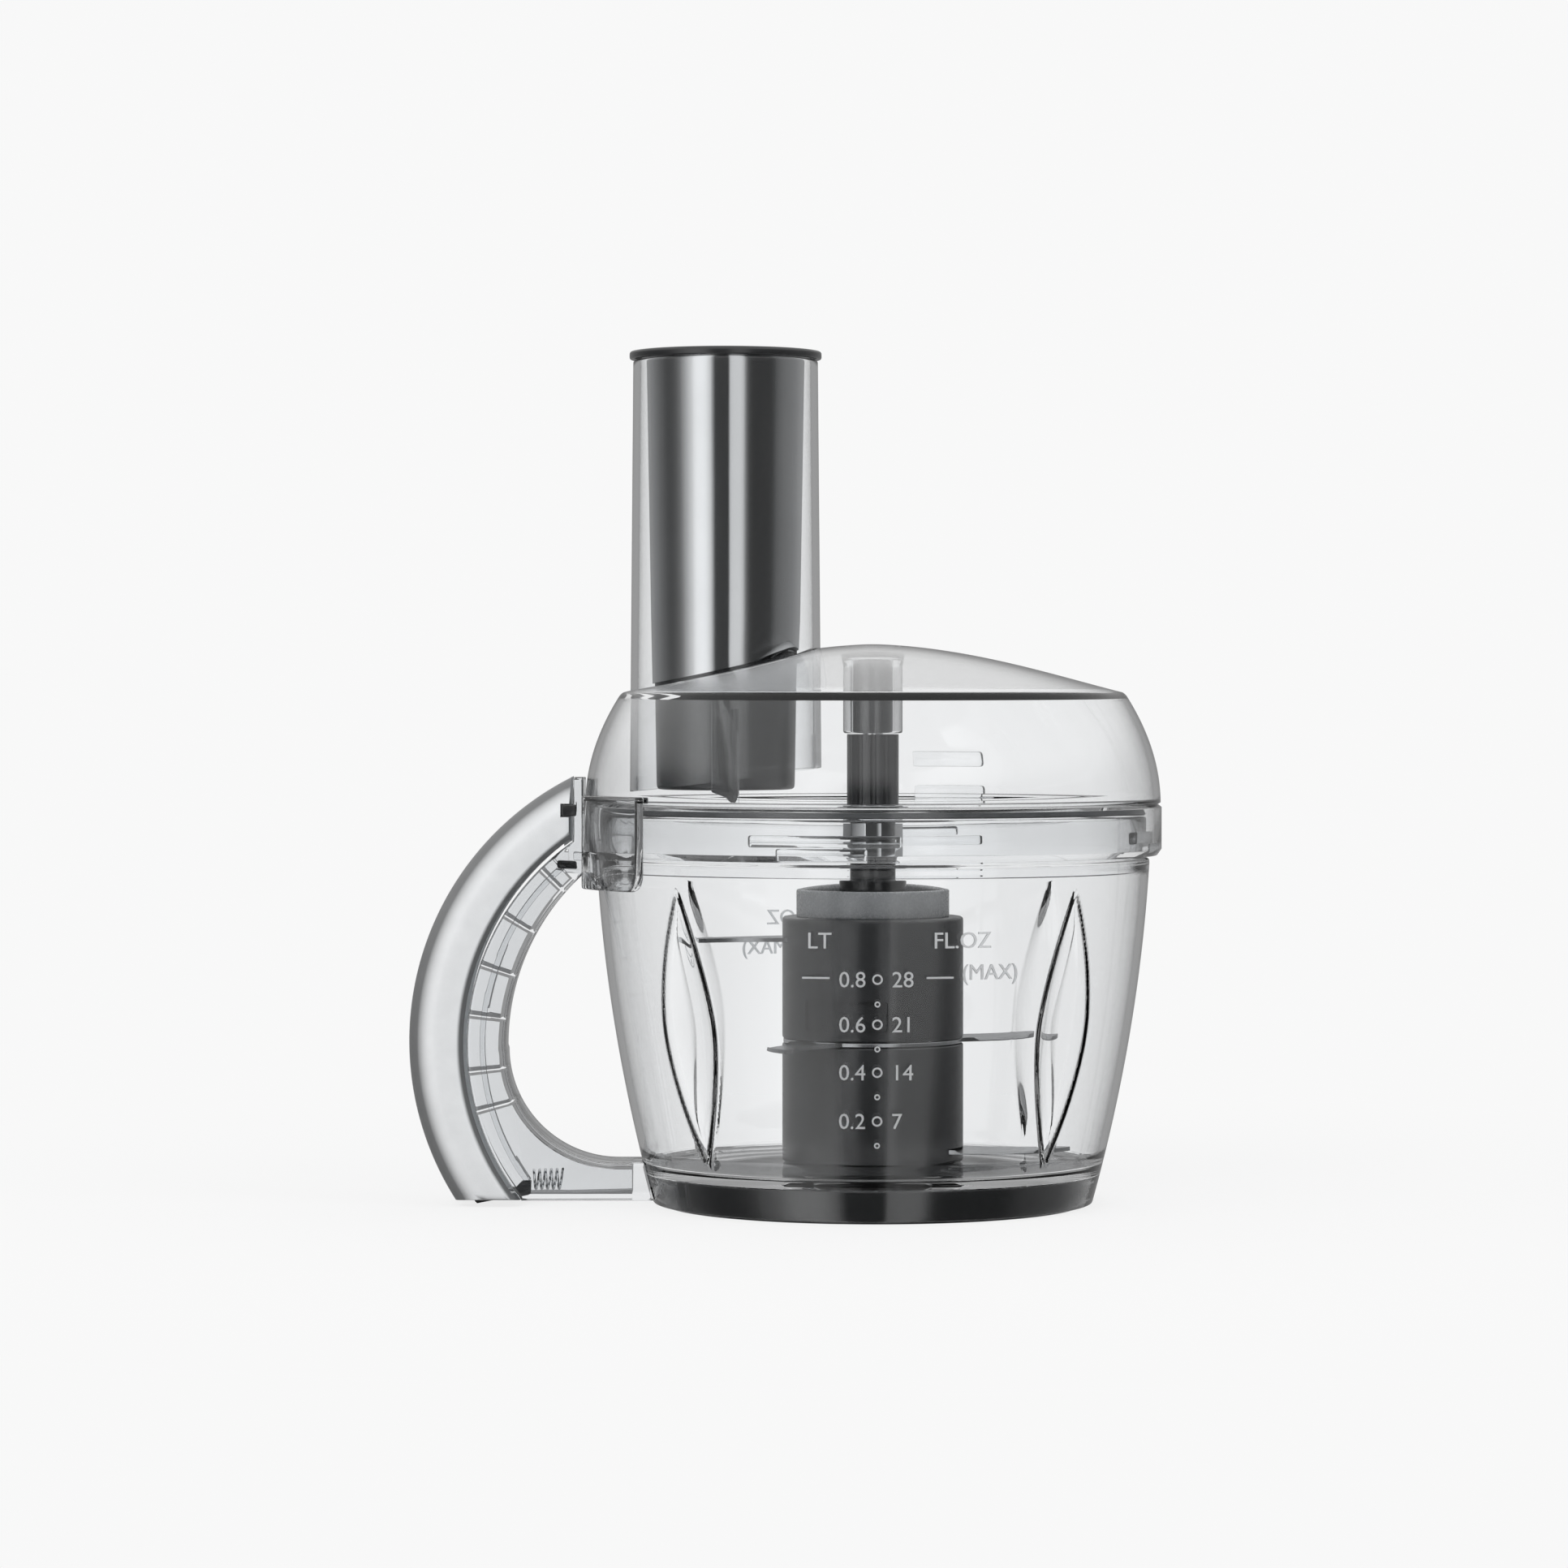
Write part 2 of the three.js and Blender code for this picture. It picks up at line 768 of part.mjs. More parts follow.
function lidBush() {
  const inner = pinRadius + runningGap;
  return ring(inner, bossBoreRadius - fitGap, bossLow + fitGap, domeTop - bossRoof - fitGap, smallSegments);
}

function lidSeal() {
  const low = rimTop + fitGap;
  return ring(rimRadius - bowlWall + 0.2, rimRadius - 0.2, low, low + sealHeight, wideSegments);
}

function feedTube() {
  const low = chuteLow - 1;
  const tube = turned(
    [
      [feedTubeRadiusAt(low) - feedTubeWall, low],
      [feedTubeRadiusAt(low), low],
      [feedTubeTopRadius, feedTubeTop],
      [feedTubeTopRadius - feedTubeWall, feedTubeTop],
    ],
    midSegments,
  );
  const outside = feedTubeRadiusAt(finLow);
  const fin = box(
    finOffset,
    finOffset + finThickness,
    -outside - finReach,
    feedTubeWall - 0.7 - outside,
    finLow,
    lidTopEdge - domeThickness - finDrop,
  );
  const slant = Math.atan2(chuteSlant, 2 * outside) / degrees;
  const wide = 2 * outside;
  const cut = box(-wide, wide, -wide, wide, -wide, 0)
    .rotate([0, -slant, 0])
    .translate([0, 0, chuteLow + chuteSlant / 2]);
  return tube.subtract(cut).add(fin);
}

// Pusher, about the feed tube's axis

const flangeLow = feedTubeTop + fitGap;
const flangeTop = flangeLow + flangeThickness;
const pusherLow = chuteLow + pusherLift;

function sleeveRadiusAt(height) {
  return pusherTopRadius - pusherTaper * (feedTubeTop - height);
}

function pusherBody() {
  const inset = sleeveThickness + fitGap;
  const outer = (height) => sleeveRadiusAt(height) - inset;
  return turned(
    [
      [0, pusherLow],
      [outer(pusherLow), pusherLow],
      [outer(flangeLow), flangeLow],
      [feedTubeTopRadius + flangeOverhang, flangeLow],
      [feedTubeTopRadius + flangeOverhang, flangeTop],
      [outer(flangeTop) - pusherWall, flangeTop],
      [outer(pusherLow) - pusherWall, pusherLow + pusherWall],
      [0, pusherLow + pusherWall],
    ],
    midSegments,
  );
}

function pusherSleeve() {
  const low = lidTopEdge - cutMargin;
  const high = flangeLow - fitGap;
  const tube = turned(
    [
      [sleeveRadiusAt(low) - sleeveThickness, low],
      [sleeveRadiusAt(low), low],
      [sleeveRadiusAt(high), high],
      [sleeveRadiusAt(high) - sleeveThickness, high],
    ],
    midSegments,
  );
  const underDome = turned(
    [[0, low - 1], [lidTopRadius, low - 1], ...domeProfile(0, 0, lidTopRadius).reverse()],
    wideSegments,
  );
  return tube.subtract(underDome.translate([-feedTubeX, 0, 0]));
}

// Handle

function crescent(shrink, ends) {
  const outer = { ...coverOuterArc, radius: coverOuterArc.radius - shrink };
  const low = handleBottom + ends;
  return [
    ...arcPoints(outer, angleAtX(outer, coverTopX - ends), angleAtHeight(outer, low), 22),
    ...arcPoints(
      coverInnerArc,
      angleAtHeight(coverInnerArc, low),
      angleAtX(coverInnerArc, coverTopX - ends),
      16,
    ),
  ];
}

const frameTop = coverOuterArc.z +
  Math.sqrt(coverOuterArc.radius ** 2 - (coverTopX - coverOuterArc.x) ** 2) - frameTopDrop;
const clipCentre = { x: coverTopX - clipSetBack, z: frameTop - clipDrop };

function clipSpace(grow) {
  const length = clipLength / 2 + grow;
  const height = clipHeight / 2 + grow;
  const inner = frameHalfDepth - clipDepth / 2 - grow;
  const outer = frameHalfDepth + clipDepth / 2 + grow;
  return (side) =>
    box(
      clipCentre.x - length,
      clipCentre.x + length,
      Math.min(side * inner, side * outer),
      Math.max(side * inner, side * outer),
      clipCentre.z - height,
      clipCentre.z + height,
    );
}

function tipSlot() {
  const right = xAtHeight(coverInnerArc, handleBottom) + channelStep;
  const half = footHalfWidth + linkClearance;
  return box(right - tipReach - 10, right, -half, half, -cutMargin, handleBottom + tipSlotHeight);
}

function handleCover() {
  const body = slab(crescent(0, 0), coverHalfDepth, coverRound, 2);
  const outer = { ...coverOuterArc, radius: coverOuterArc.radius - coverWall };
  const right = coverTopX - coverWall;
  const low = handleBottom + coverWall;
  const high = outer.z + Math.sqrt(outer.radius ** 2 - (right - outer.x) ** 2);
  const hollow = slab(
    [
      ...arcPoints(outer, angleAtX(outer, right), angleAtHeight(outer, low), 22),
      point(right, low),
      point(right, high - 1),
    ],
    coverHalfDepth - coverWall,
  );
  const clips = [1, -1].map(clipSpace(fitGap));
  return body.subtract(joined([hollow, tipSlot(), ...clips]));
}

function coverClip(side) {
  return clipSpace(0)(side);
}

const frameOuterArc = { ...coverInnerArc, radius: coverInnerArc.radius - fitGap };
const frameInnerX = -(bowlBaseRadius - 5.3); // inside the bowl, which is cut away afterwards

function frameOutline() {
  const topX = coverTopX + fitGap;
  return [
    point(frameInnerX, bowlShoulderHeight),
    point(frameInnerX, frameTop),
    point(topX, frameTop),
    ...arcPoints(
      frameOuterArc,
      angleAtX(frameOuterArc, topX),
      angleAtHeight(frameOuterArc, handleBottom),
      18,
    ),
    point(frameInnerX, handleBottom),
    point(frameInnerX, armTop),
    ...arcPoints(elbowArc, 270, 180, 9),
    ...arcPoints(fingerArc, 180, angleAtHeight(fingerArc, bowlShoulderHeight - 2), 10),
  ];
}

function frameChannel() {
  const elbow = { ...elbowArc, radius: elbowArc.radius + frameWall };
  const finger = { ...fingerArc, radius: fingerArc.radius + frameWall };
  const low = handleBottom + frameWall;
  const outerX = xAtHeight(coverInnerArc, coverInnerArc.z) - cutMargin;
  const top = linkTopHeight + linkRoof;
  return slab(
    [
      point(xAtHeight(finger, top), top),
      point(outerX, top),
      point(outerX, handleBottom - 1),
      point(xAtHeight(coverInnerArc, low) + channelStep, handleBottom - 1),
      point(xAtHeight(coverInnerArc, low) + channelStep, low),
      point(-bowlRadiusAt(low) - frameRoot, low),
      point(-bowlRadiusAt(low) - frameRoot, armTop - frameWall),
      ...arcPoints(elbow, 270, 180, 9),
      ...arcPoints(finger, 180, angleAtHeight(finger, top), 10).slice(1, -1),
    ],
    frameHalfDepth - frameWall,
  );
}

function linkPath() {
  const travel = linkTravel + 1;
  const outer = { ...linkArc, radius: linkArc.radius + linkThickness / 2 + linkClearance };
  const inner = { ...linkArc, radius: linkArc.radius - linkThickness / 2 - linkClearance };
  const outerTop = angleAtHeight(outer, linkTopHeight) - travel;
  const innerTop = angleAtHeight(inner, linkTopHeight) - travel;
  return slab(
    [
      ...arcPoints(outer, outerTop, angleAtHeight(outer, handleBottom), 18),
      ...arcPoints(inner, angleAtHeight(inner, handleBottom), innerTop, 18),
    ],
    linkHalfWidth + linkClearance,
  );
}

const headRight = headOverlap - (lidRadius + camReach);

// Room for the link's head, at rest and when it has risen
function headSpace() {
  const left = xAtHeight(linkArc, linkTopHeight) - linkThickness / 2 - linkClearance;
  const half = headHalfWidth + linkClearance;
  return box(left, headRight + 3, -half, half, linkTopHeight - 1, camLow + headHeight + 1);
}

function handleRib(rise) {
  const angle = angleAtHeight(linkArc, handleCentre.z + rise);
  const reach = linkArc.radius;
  return box(reach - 20, reach + 12, -frameHalfDepth, frameHalfDepth, -ribThickness / 2, ribThickness / 2)
    .rotate([0, -angle, 0])
    .translate([linkArc.x, 0, linkArc.z]);
}

const springRight = xAtHeight(linkArc, linkLowHeight) + tipBack + fitGap + springLength;

function springSeat() {
  const left = springRight + fitGap;
  return box(
    left,
    left + springSeatThickness,
    -frameHalfDepth + 1,
    frameHalfDepth - 1,
    handleBottom + 1,
    springHeight + springRadius,
  );
}

function handleFrame() {
  const filled = slab(frameOutline(), frameHalfDepth);
  const shoulderTop = bowlShoulderHeight + 1.5;
  const bowlSpace = turned(
    [[0, -1], ...bowlWallPoints(fitGap, 0, shoulderTop, wallSteps), [0, shoulderTop]],
    wideSegments,
  );
  const high = frameTop + cutMargin;
  const lidSpace = disc(lidRadius + lidClearance, lidLowEdge - 1, high, wideSegments);
  const camRadius = lidRadius + camReach + lidClearance;
  const camHalf = camRadius * Math.sin(camHalfAngle * degrees) + lidClearance;
  const camRoom = linkTopHeight + linkRoof;
  const camTurning = disc(camRadius, camRoom, camLow + camHeight + lidClearance, wideSegments);
  const camLifting = box(-camRadius, frameInnerX, -camHalf, camHalf, camRoom, high);
  const inside = joined(ribRises.map(handleRib)).add(springSeat()).intersect(filled);
  const clips = [1, -1].map(clipSpace(fitGap));
  const spaces = [linkPath(), headSpace(), bowlSpace, lidSpace, camTurning, camLifting, tipSlot()];
  return filled
    .subtract(frameChannel())
    .add(inside)
    .subtract(joined([...spaces, ...clips]));
}

// Safety link

function interlockLink() {
  const outer = { ...linkArc, radius: linkArc.radius + linkThickness / 2 };
  const inner = { ...linkArc, radius: linkArc.radius - linkThickness / 2 };
  return slab(
    [
      ...arcPoints(outer, angleAtHeight(outer, linkTopHeight), angleAtHeight(outer, linkLowHeight), 18),
      ...arcPoints(inner, angleAtHeight(inner, linkLowHeight), angleAtHeight(inner, linkTopHeight), 18),
    ],
    linkHalfWidth,
  );
}

function interlockHead() {
  const left = xAtHeight(linkArc, linkTopHeight) - linkThickness / 2;
  const high = camLow - fitGap;
  return box(left, headRight, -headHalfWidth, headHalfWidth, high - headHeight, high);
}

function interlockTip() {
  const x = xAtHeight(linkArc, linkLowHeight);
  const top = linkLowHeight - fitGap;
  return slab(
    [
      point(x - 1.5, top),
      point(x + tipBack, top),
      point(x + tipBack, handleBottom + 1.6),
      point(x - tipReach + 1, tipLow),
      point(x - tipReach, tipLow + 1),
      point(x - 4, handleBottom + 2.6),
    ],
    footHalfWidth,
  );
}

class CoilCurve extends THREE.Curve {
  getPoint(share) {
    const angle = share * springTurns * 2 * Math.PI;
    return new THREE.Vector3(
      share * (springLength - springWire),
      springRadius * Math.cos(angle),
      springRadius * Math.sin(angle),
    );
  }
}

function interlockSpring() {
  const outline = new THREE.Shape(
    arcPoints({ x: 0, z: 0, radius: springWire / 2 }, 0, 360 - 360 / springSides, springSides - 1),
  );
  const geometry = new THREE.ExtrudeGeometry(outline, {
    steps: springTurns * springStepsPerTurn,
    extrudePath: new CoilCurve(),
    bevelEnabled: false,
  });
  geometry.translate(springRight - springLength + springWire / 2, 0, springHeight);
  return toSolid(geometry);
}

// The whole

const foodProcessor = new THREE.Group();

const base = new THREE.Group();
base.add(
  mesh('bowl_shell', bowlShell(), clearPlastic),
  mesh('base_collar', baseCollar(), darkGloss),
  mesh('lower_bush', lowerBush(), darkPlastic),
  mesh('upper_bush', upperBush(), darkPlastic),
  mesh('shaft_seal', shaftSeal(), rubber),
  mesh('handle_frame', handleFrame(), clearPlastic),
  mesh('handle_cover', handleCover(), satinSilver),
  mesh('cover_clip_front', coverClip(-1), darkPlastic),
  mesh('cover_clip_back', coverClip(1), darkPlastic),
  mesh('interlock_spring', interlockSpring(), steel),
);

const interlock = new THREE.Group();
interlock.add(
  mesh('interlock_link', interlockLink(), clearPlastic),
  mesh('interlock_head', interlockHead(), darkPlastic),
  mesh('interlock_tip', interlockTip(), darkPlastic),
);

const knife = new THREE.Group();
knife.add(
  mesh('drive_coupling', driveCoupling(), darkPlastic),
  mesh('thrust_washer', thrustWasher(), steel),
  mesh('spindle', spindle(), steel),
  mesh('spindle_clip', spindleClip(), steel),
  mesh('hub_lower', hubLower(), darkPlastic),
  mesh('hub_upper', hubUpper(), darkPlastic),
  mesh('hub_collar', hubCollar(), darkPlastic),
  mesh('upper_blade', upperBlade(), steel),
  mesh('middle_blade', middleBlade(), steel),
  mesh('lower_blade', lowerBlade(), steel),
  mesh('stem_connector', stemConnector(), darkGloss),
  mesh('stem_nut', stemNut(), steel),
  mesh('stem_ring', stemRing(), clearPlastic),
  mesh('disc_stem', discStem(), darkPlastic),
  mesh('stem_pin', stemPin(), steel),
);

const lid = new THREE.Group();
const feed = new THREE.Group();
feed.position.set(feedTubeX, 0, 0);
feed.add(
  mesh('feed_tube', feedTube(), clearPlastic),
  mesh('pusher_body', pusherBody(), darkPlastic),
  mesh('pusher_sleeve', pusherSleeve(), steel),
);
lid.add(
  mesh('lid_cover', lidCover(), clearPlastic),
  mesh('lid_bush', lidBush(), darkPlastic),
  mesh('lid_seal', lidSeal(), rubber),
  feed,
);

foodProcessor.add(base, interlock, knife, lid);

export default foodProcessor;
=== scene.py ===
import math

import bmesh
import bpy
from mathutils import Matrix, Vector


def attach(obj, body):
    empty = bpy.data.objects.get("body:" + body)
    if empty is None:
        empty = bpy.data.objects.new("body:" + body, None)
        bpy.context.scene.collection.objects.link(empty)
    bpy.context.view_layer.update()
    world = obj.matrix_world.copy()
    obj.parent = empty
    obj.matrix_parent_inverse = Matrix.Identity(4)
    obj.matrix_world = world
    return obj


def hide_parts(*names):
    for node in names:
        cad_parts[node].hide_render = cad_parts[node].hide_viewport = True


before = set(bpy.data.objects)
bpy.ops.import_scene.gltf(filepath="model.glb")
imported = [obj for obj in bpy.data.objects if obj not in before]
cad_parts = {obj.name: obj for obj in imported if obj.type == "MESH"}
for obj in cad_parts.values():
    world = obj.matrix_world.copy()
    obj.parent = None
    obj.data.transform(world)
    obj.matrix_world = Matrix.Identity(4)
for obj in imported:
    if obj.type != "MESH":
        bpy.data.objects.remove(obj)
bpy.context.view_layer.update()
scene = bpy.context.scene
mm = 0.001

# outlines are in mm and meshes in metres


def arc(cx, cz, radius, start, end, steps):
    points = []
    for i in range(steps + 1):
        a = math.radians(start + (end - start) * i / steps)
        points.append((cx + radius * math.cos(a), cz + radius * math.sin(a)))
    return points


def rounded(points, closed=True, steps=4):
    # a third number on a point is the radius of its corner
    made = []
    for i, point in enumerate(points):
        corner = Vector(point[:2])
        isEnd = not closed and i in (0, len(points) - 1)
        if isEnd or len(point) < 3 or not point[2]:
            made.append(tuple(corner))
            continue
        before = Vector(points[i - 1][:2]) - corner
        after = Vector(points[(i + 1) % len(points)][:2]) - corner
        half = before.angle(after) / 2
        reach = min(point[2] / math.tan(half), 0.45 * before.length, 0.45 * after.length)
        start = corner + before.normalized() * reach
        end = corner + after.normalized() * reach
        for k in range(steps + 1):
            t = k / steps
            made.append(tuple(start * (1 - t) ** 2 + corner * 2 * t * (1 - t) + end * t ** 2))
    return made


def box(x0, x1, z0, z1, *corners, steps=3):
    # a rectangle, with one corner radius or four, from the lower left and round
    four = corners * 4 if len(corners) == 1 else corners
    places = [(x0, z0), (x1, z0), (x1, z1), (x0, z1)]
    return rounded([(*place, corner) for place, corner in zip(places, four)], steps=steps)


def closeUp(bm, weld=2e-6):
    bmesh.ops.remove_doubles(bm, verts=bm.verts, dist=weld)
    return facedOut(bm)


def facedOut(bm):
    bmesh.ops.recalc_face_normals(bm, faces=bm.faces)
    if bm.calc_volume(signed=True) < 0:
        bmesh.ops.reverse_faces(bm, faces=bm.faces)
    return bm


def spun(profile, steps=96, closed=True, sectors=None):
    bm = bmesh.new()
    verts = [bm.verts.new((r * mm, 0, z * mm)) for r, z in profile]
    edges = [bm.edges.new(pair) for pair in zip(verts, verts[1:])]
    if closed:
        edges.append(bm.edges.new((verts[-1], verts[0])))
    geom = verts + edges
    for angle, count in sectors or [(360, steps)]:
        turned = bmesh.ops.spin(
            bm, geom=geom, cent=(0, 0, 0), axis=(0, 0, 1), angle=math.radians(angle),
            steps=count, use_merge=sectors is None,
        )
        geom = turned["geom_last"]
    return closeUp(bm, 5e-6)


def slab(outline, low, high, edgeRound=0, segments=3):
    # an outline in the XZ plane, made thick along Y
    bm = bmesh.new()
    face = bm.faces.new([bm.verts.new((x * mm, low * mm, z * mm)) for x, z in outline])
    pushed = bmesh.ops.extrude_face_region(bm, geom=[face])["geom"]
    farSide = [v for v in pushed if isinstance(v, bmesh.types.BMVert)]
    bmesh.ops.translate(bm, verts=farSide, vec=(0, (high - low) * mm, 0))
    closeUp(bm)
    if edgeRound:
        rims = [e for e in bm.edges if abs(e.verts[0].co.y - e.verts[1].co.y) < 1e-7]
        bmesh.ops.bevel(
            bm, geom=rims, offset=edgeRound * mm, offset_type="OFFSET", segments=segments,
            profile=0.5, affect="EDGES", clamp_overlap=True, material=-1,
        )
        closeUp(bm)
    return bm


def plate(outline, low, high, edgeRound=0, segments=2):
    # an outline in the XY plane, made thick along Z
    bm = slab(outline, low, high, edgeRound, segments)
    for v in bm.verts:
        v.co = Vector((v.co.x, v.co.z, v.co.y))
    return facedOut(bm)


def moved(bm, x=0, y=0, z=0, turn=0):
    matrix = Matrix.Translation((x * mm, y * mm, z * mm)) @ Matrix.Rotation(math.radians(turn), 4, "Z")
    bmesh.ops.transform(bm, matrix=matrix, verts=bm.verts)
    return bm


def joined(parts):
    whole = bmesh.new()
    for part in parts:
        held = bpy.data.meshes.new("held")
        part.to_mesh(held)
        part.free()
        whole.from_mesh(held)
        bpy.data.meshes.remove(held)
    return whole


def wrapped(bm, azimuth, radiusAt):
    # a flat shape facing -Y is laid round the axis: x is along, y is inwards, z is up
    for v in bm.verts:
        radius = radiusAt(v.co.z / mm) * mm
        a = math.radians(azimuth) + v.co.x / radius
        radius -= v.co.y
        v.co = Vector((radius * math.cos(a), radius * math.sin(a), v.co.z))
    return bm


def sliced(bm, stepX):
    # extra cuts along X, so that a flat shape can be laid round
    low = min(v.co.x for v in bm.verts)
    high = max(v.co.x for v in bm.verts)
    count = int((high - low) / (stepX * mm))
    for i in range(1, count + 1):
        x = low + (high - low) * i / (count + 1)
        bmesh.ops.bisect_plane(
            bm, geom=bm.verts[:] + bm.edges[:] + bm.faces[:], dist=1e-7,
            plane_co=(x, 0, 0), plane_no=(1, 0, 0),
        )
    return bm


def cutWith(bm, cutter, operation="DIFFERENCE"):
    first = plainObject("cutTarget", bm)
    second = plainObject("cutTool", cutter)
    modifier = first.modifiers.new("cut", "BOOLEAN")
    modifier.operation = operation
    modifier.solver = "EXACT"
    modifier.object = second
    bpy.context.view_layer.update()
    cut = bmesh.new()
    cut.from_object(first, bpy.context.evaluated_depsgraph_get())
    for o in (first, second):
        data = o.data
        bpy.data.objects.remove(o)
        bpy.data.meshes.remove(data)
    bmesh.ops.remove_doubles(cut, verts=cut.verts, dist=1e-6)
    bmesh.ops.dissolve_degenerate(cut, dist=1e-6, edges=cut.edges)
    return cut


def drill(radius, low, high):
    return spun([(0, low), (radius, low), (radius, high), (0, high)], 32, closed=False)


def plainObject(name, bm):
    data = bpy.data.meshes.new(name)
    bm.to_mesh(data)
    bm.free()
    made = bpy.data.objects.new(name, data)
    scene.collection.objects.link(made)
    return made


def finished(name, bm, material, body, nodes=(), sharpAngle=34):
    piece = plainObject(name, bm)
    piece.data.polygons.foreach_set("use_smooth", [True] * len(piece.data.polygons))
    piece.data.set_sharp_from_angle(angle=math.radians(sharpAngle))
    piece.data.materials.append(material)
    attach(piece, body)
    if nodes:
        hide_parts(*nodes)
    return piece


# helpers for the finishes


def newMaterial(name):
    material = bpy.data.materials.new(name)
    material.use_nodes = True
    tree = material.node_tree
    return material, tree, tree.nodes["Principled BSDF"], tree.nodes["Material Output"]


def addNode(tree, kind, **values):
    node = tree.nodes.new(kind)
    for key, value in values.items():
        if hasattr(node, key):
            setattr(node, key, value)
        else:
            node.inputs[key].default_value = value
    return node


def fed(tree, node, values, names=None):
    # a number is set on its input, and an output is linked to it; the first output comes back
    for socket, value in zip([node.inputs[name] for name in names or range(len(values))], values):
        if isinstance(value, (int, float)):
            socket.default_value = value
        else:
            tree.links.new(value, socket)
    return node.outputs[0]


def worked(tree, operation, first, second):
    return fed(tree, addNode(tree, "ShaderNodeMath", operation=operation), (first, second))


def blended(tree, share, first, second):
    return fed(tree, addNode(tree, "ShaderNodeMixShader"), (share, first, second))


def between(tree, share, first, second):
    mix = addNode(tree, "ShaderNodeMix", data_type="FLOAT")
    return fed(tree, mix, (share, first, second), ("Factor", "A", "B"))


def smoothStep(tree, source, fromLow, fromHigh, toLow=0, toHigh=1):
    step = addNode(tree, "ShaderNodeMapRange", interpolation_type="SMOOTHSTEP")
    return fed(tree, step, (source, fromLow, fromHigh, toLow, toHigh))


def grain(tree, scale, stretch=(1, 1, 1), detail=3):
    # noise on object coordinates, in metres
    coords = addNode(tree, "ShaderNodeTexCoord")
    mapping = addNode(tree, "ShaderNodeMapping", Scale=stretch)
    noise = addNode(tree, "ShaderNodeTexNoise", Scale=scale, Detail=detail)
    tree.links.new(coords.outputs["Object"], mapping.inputs["Vector"])
    tree.links.new(mapping.outputs["Vector"], noise.inputs["Vector"])
    return noise.outputs["Fac"]


def ranged(tree, source, low, high):
    span = addNode(tree, "ShaderNodeMapRange", **{"To Min": low, "To Max": high})
    tree.links.new(source, span.inputs["Value"])
    return span.outputs["Result"]


def bumped(tree, source, strength, distance):
    bump = addNode(tree, "ShaderNodeBump", Strength=strength, Distance=distance)
    tree.links.new(source, bump.inputs["Height"])
    return bump.outputs["Normal"]


def tinted(tree, source, dark, light):
    ramp = addNode(tree, "ShaderNodeValToRGB")
    ramp.color_ramp.elements[0].position = 0.3
    ramp.color_ramp.elements[1].position = 0.7
    ramp.color_ramp.elements[0].color = (*dark, 1)
    ramp.color_ramp.elements[1].color = (*light, 1)
    tree.links.new(source, ramp.inputs["Fac"])
    return ramp.outputs["Color"]


def paintedFacingShade(tree, colour, turned, rim):
    # painted shade: the base colour is darkened where the surface turns away from the camera, and a painted
    # rim highlight brightens it again at the very rim
    facing = addNode(tree, "ShaderNodeLayerWeight", Blend=0.5)
    ramp = addNode(tree, "ShaderNodeValToRGB")
    elements = ramp.color_ramp.elements
    elements[0].position = 0.02
    elements[0].color = (1, 1, 1, 1)
    elements[1].position = 0.95
    elements[1].color = (rim, rim, rim, 1)
    for position in (0.22, 0.75):
        made = elements.new(position)
        made.color = (turned, turned, turned, 1)
    tree.links.new(facing.outputs["Facing"], ramp.inputs["Fac"])
    times = addNode(tree, "ShaderNodeMix", data_type="RGBA", blend_type="MULTIPLY")
    times.inputs[0].default_value = 1
    tree.links.new(colour, times.inputs[6])
    tree.links.new(ramp.outputs["Color"], times.inputs[7])
    return times.outputs[2]


def opaqueMaterial(name, s):
    material, tree, shader, _ = newMaterial(name)
    fine = grain(tree, s["grainScale"], s.get("stretch", (1, 1, 1)))
    broad = grain(tree, s["grainScale"] / 14, detail=2)
    colour = tinted(tree, broad, s["dark"], s["light"])
    # painted shade where the surface turns from the camera, with a painted rim highlight at the very rim
    if "turned" in s:
        colour = paintedFacingShade(tree, colour, s["turned"], s["rim"])
    tree.links.new(colour, shader.inputs["Base Color"])
    tree.links.new(ranged(tree, fine, *s["roughness"]), shader.inputs["Roughness"])
    tree.links.new(bumped(tree, fine, s["bump"], s["bumpDepth"]), shader.inputs["Normal"])
    shader.inputs["Metallic"].default_value = s.get("metallic", 0)
    shader.inputs["Coat Weight"].default_value = s.get("coat", 0)
    shader.inputs["Coat Roughness"].default_value = 0.12
    shader.inputs["Specular IOR Level"].default_value = s.get("specular", 0.5)
    shader.inputs["Transmission Weight"].default_value = s.get("transmission", 0)
    return material


def clearMaterial(name, s):
    material, tree, shader, output = newMaterial(name)
    shader.inputs["Transmission Weight"].default_value = 1
    shader.inputs["IOR"].default_value = s["ior"]
    fine = grain(tree, 900, detail=2)
    broad = grain(tree, 24, detail=1)
    tree.links.new(ranged(tree, fine, *s["roughness"]), shader.inputs["Roughness"])
    tree.links.new(bumped(tree, broad, s["bump"], 0.0006), shader.inputs["Normal"])
    # painted shade: the wall's colour turns dark where it faces away from the camera, drawing dark outlines
    # at grazing edges
    facing = addNode(tree, "ShaderNodeLayerWeight", Blend=0.5)
    ramp = addNode(tree, "ShaderNodeValToRGB")
    elements = ramp.color_ramp.elements
    elements[0].position = 0.0
    elements[0].color = (*s["tint"], 1)
    elements[1].position = 1.0
    elements[1].color = (*s["edge"], 1)
    middle = elements.new(s["edgeShadeFrom"])
    middle.color = (*s["tint"], 1)
    tree.links.new(facing.outputs["Facing"], ramp.inputs["Fac"])
    tree.links.new(ramp.outputs["Color"], shader.inputs["Base Color"])
    # lamps and soft light pass straight through the clear walls
    through = addNode(tree, "ShaderNodeBsdfTransparent")
    through.inputs["Color"].default_value = (*s["through"], 1)
    path = addNode(tree, "ShaderNodeLightPath")
    soft = worked(tree, "MAXIMUM", path.outputs["Is Shadow Ray"], path.outputs["Is Diffuse Ray"])
    mix = blended(tree, soft, shader.outputs["BSDF"], through.outputs["BSDF"])
    tree.links.new(mix, output.inputs["Surface"])
    return material
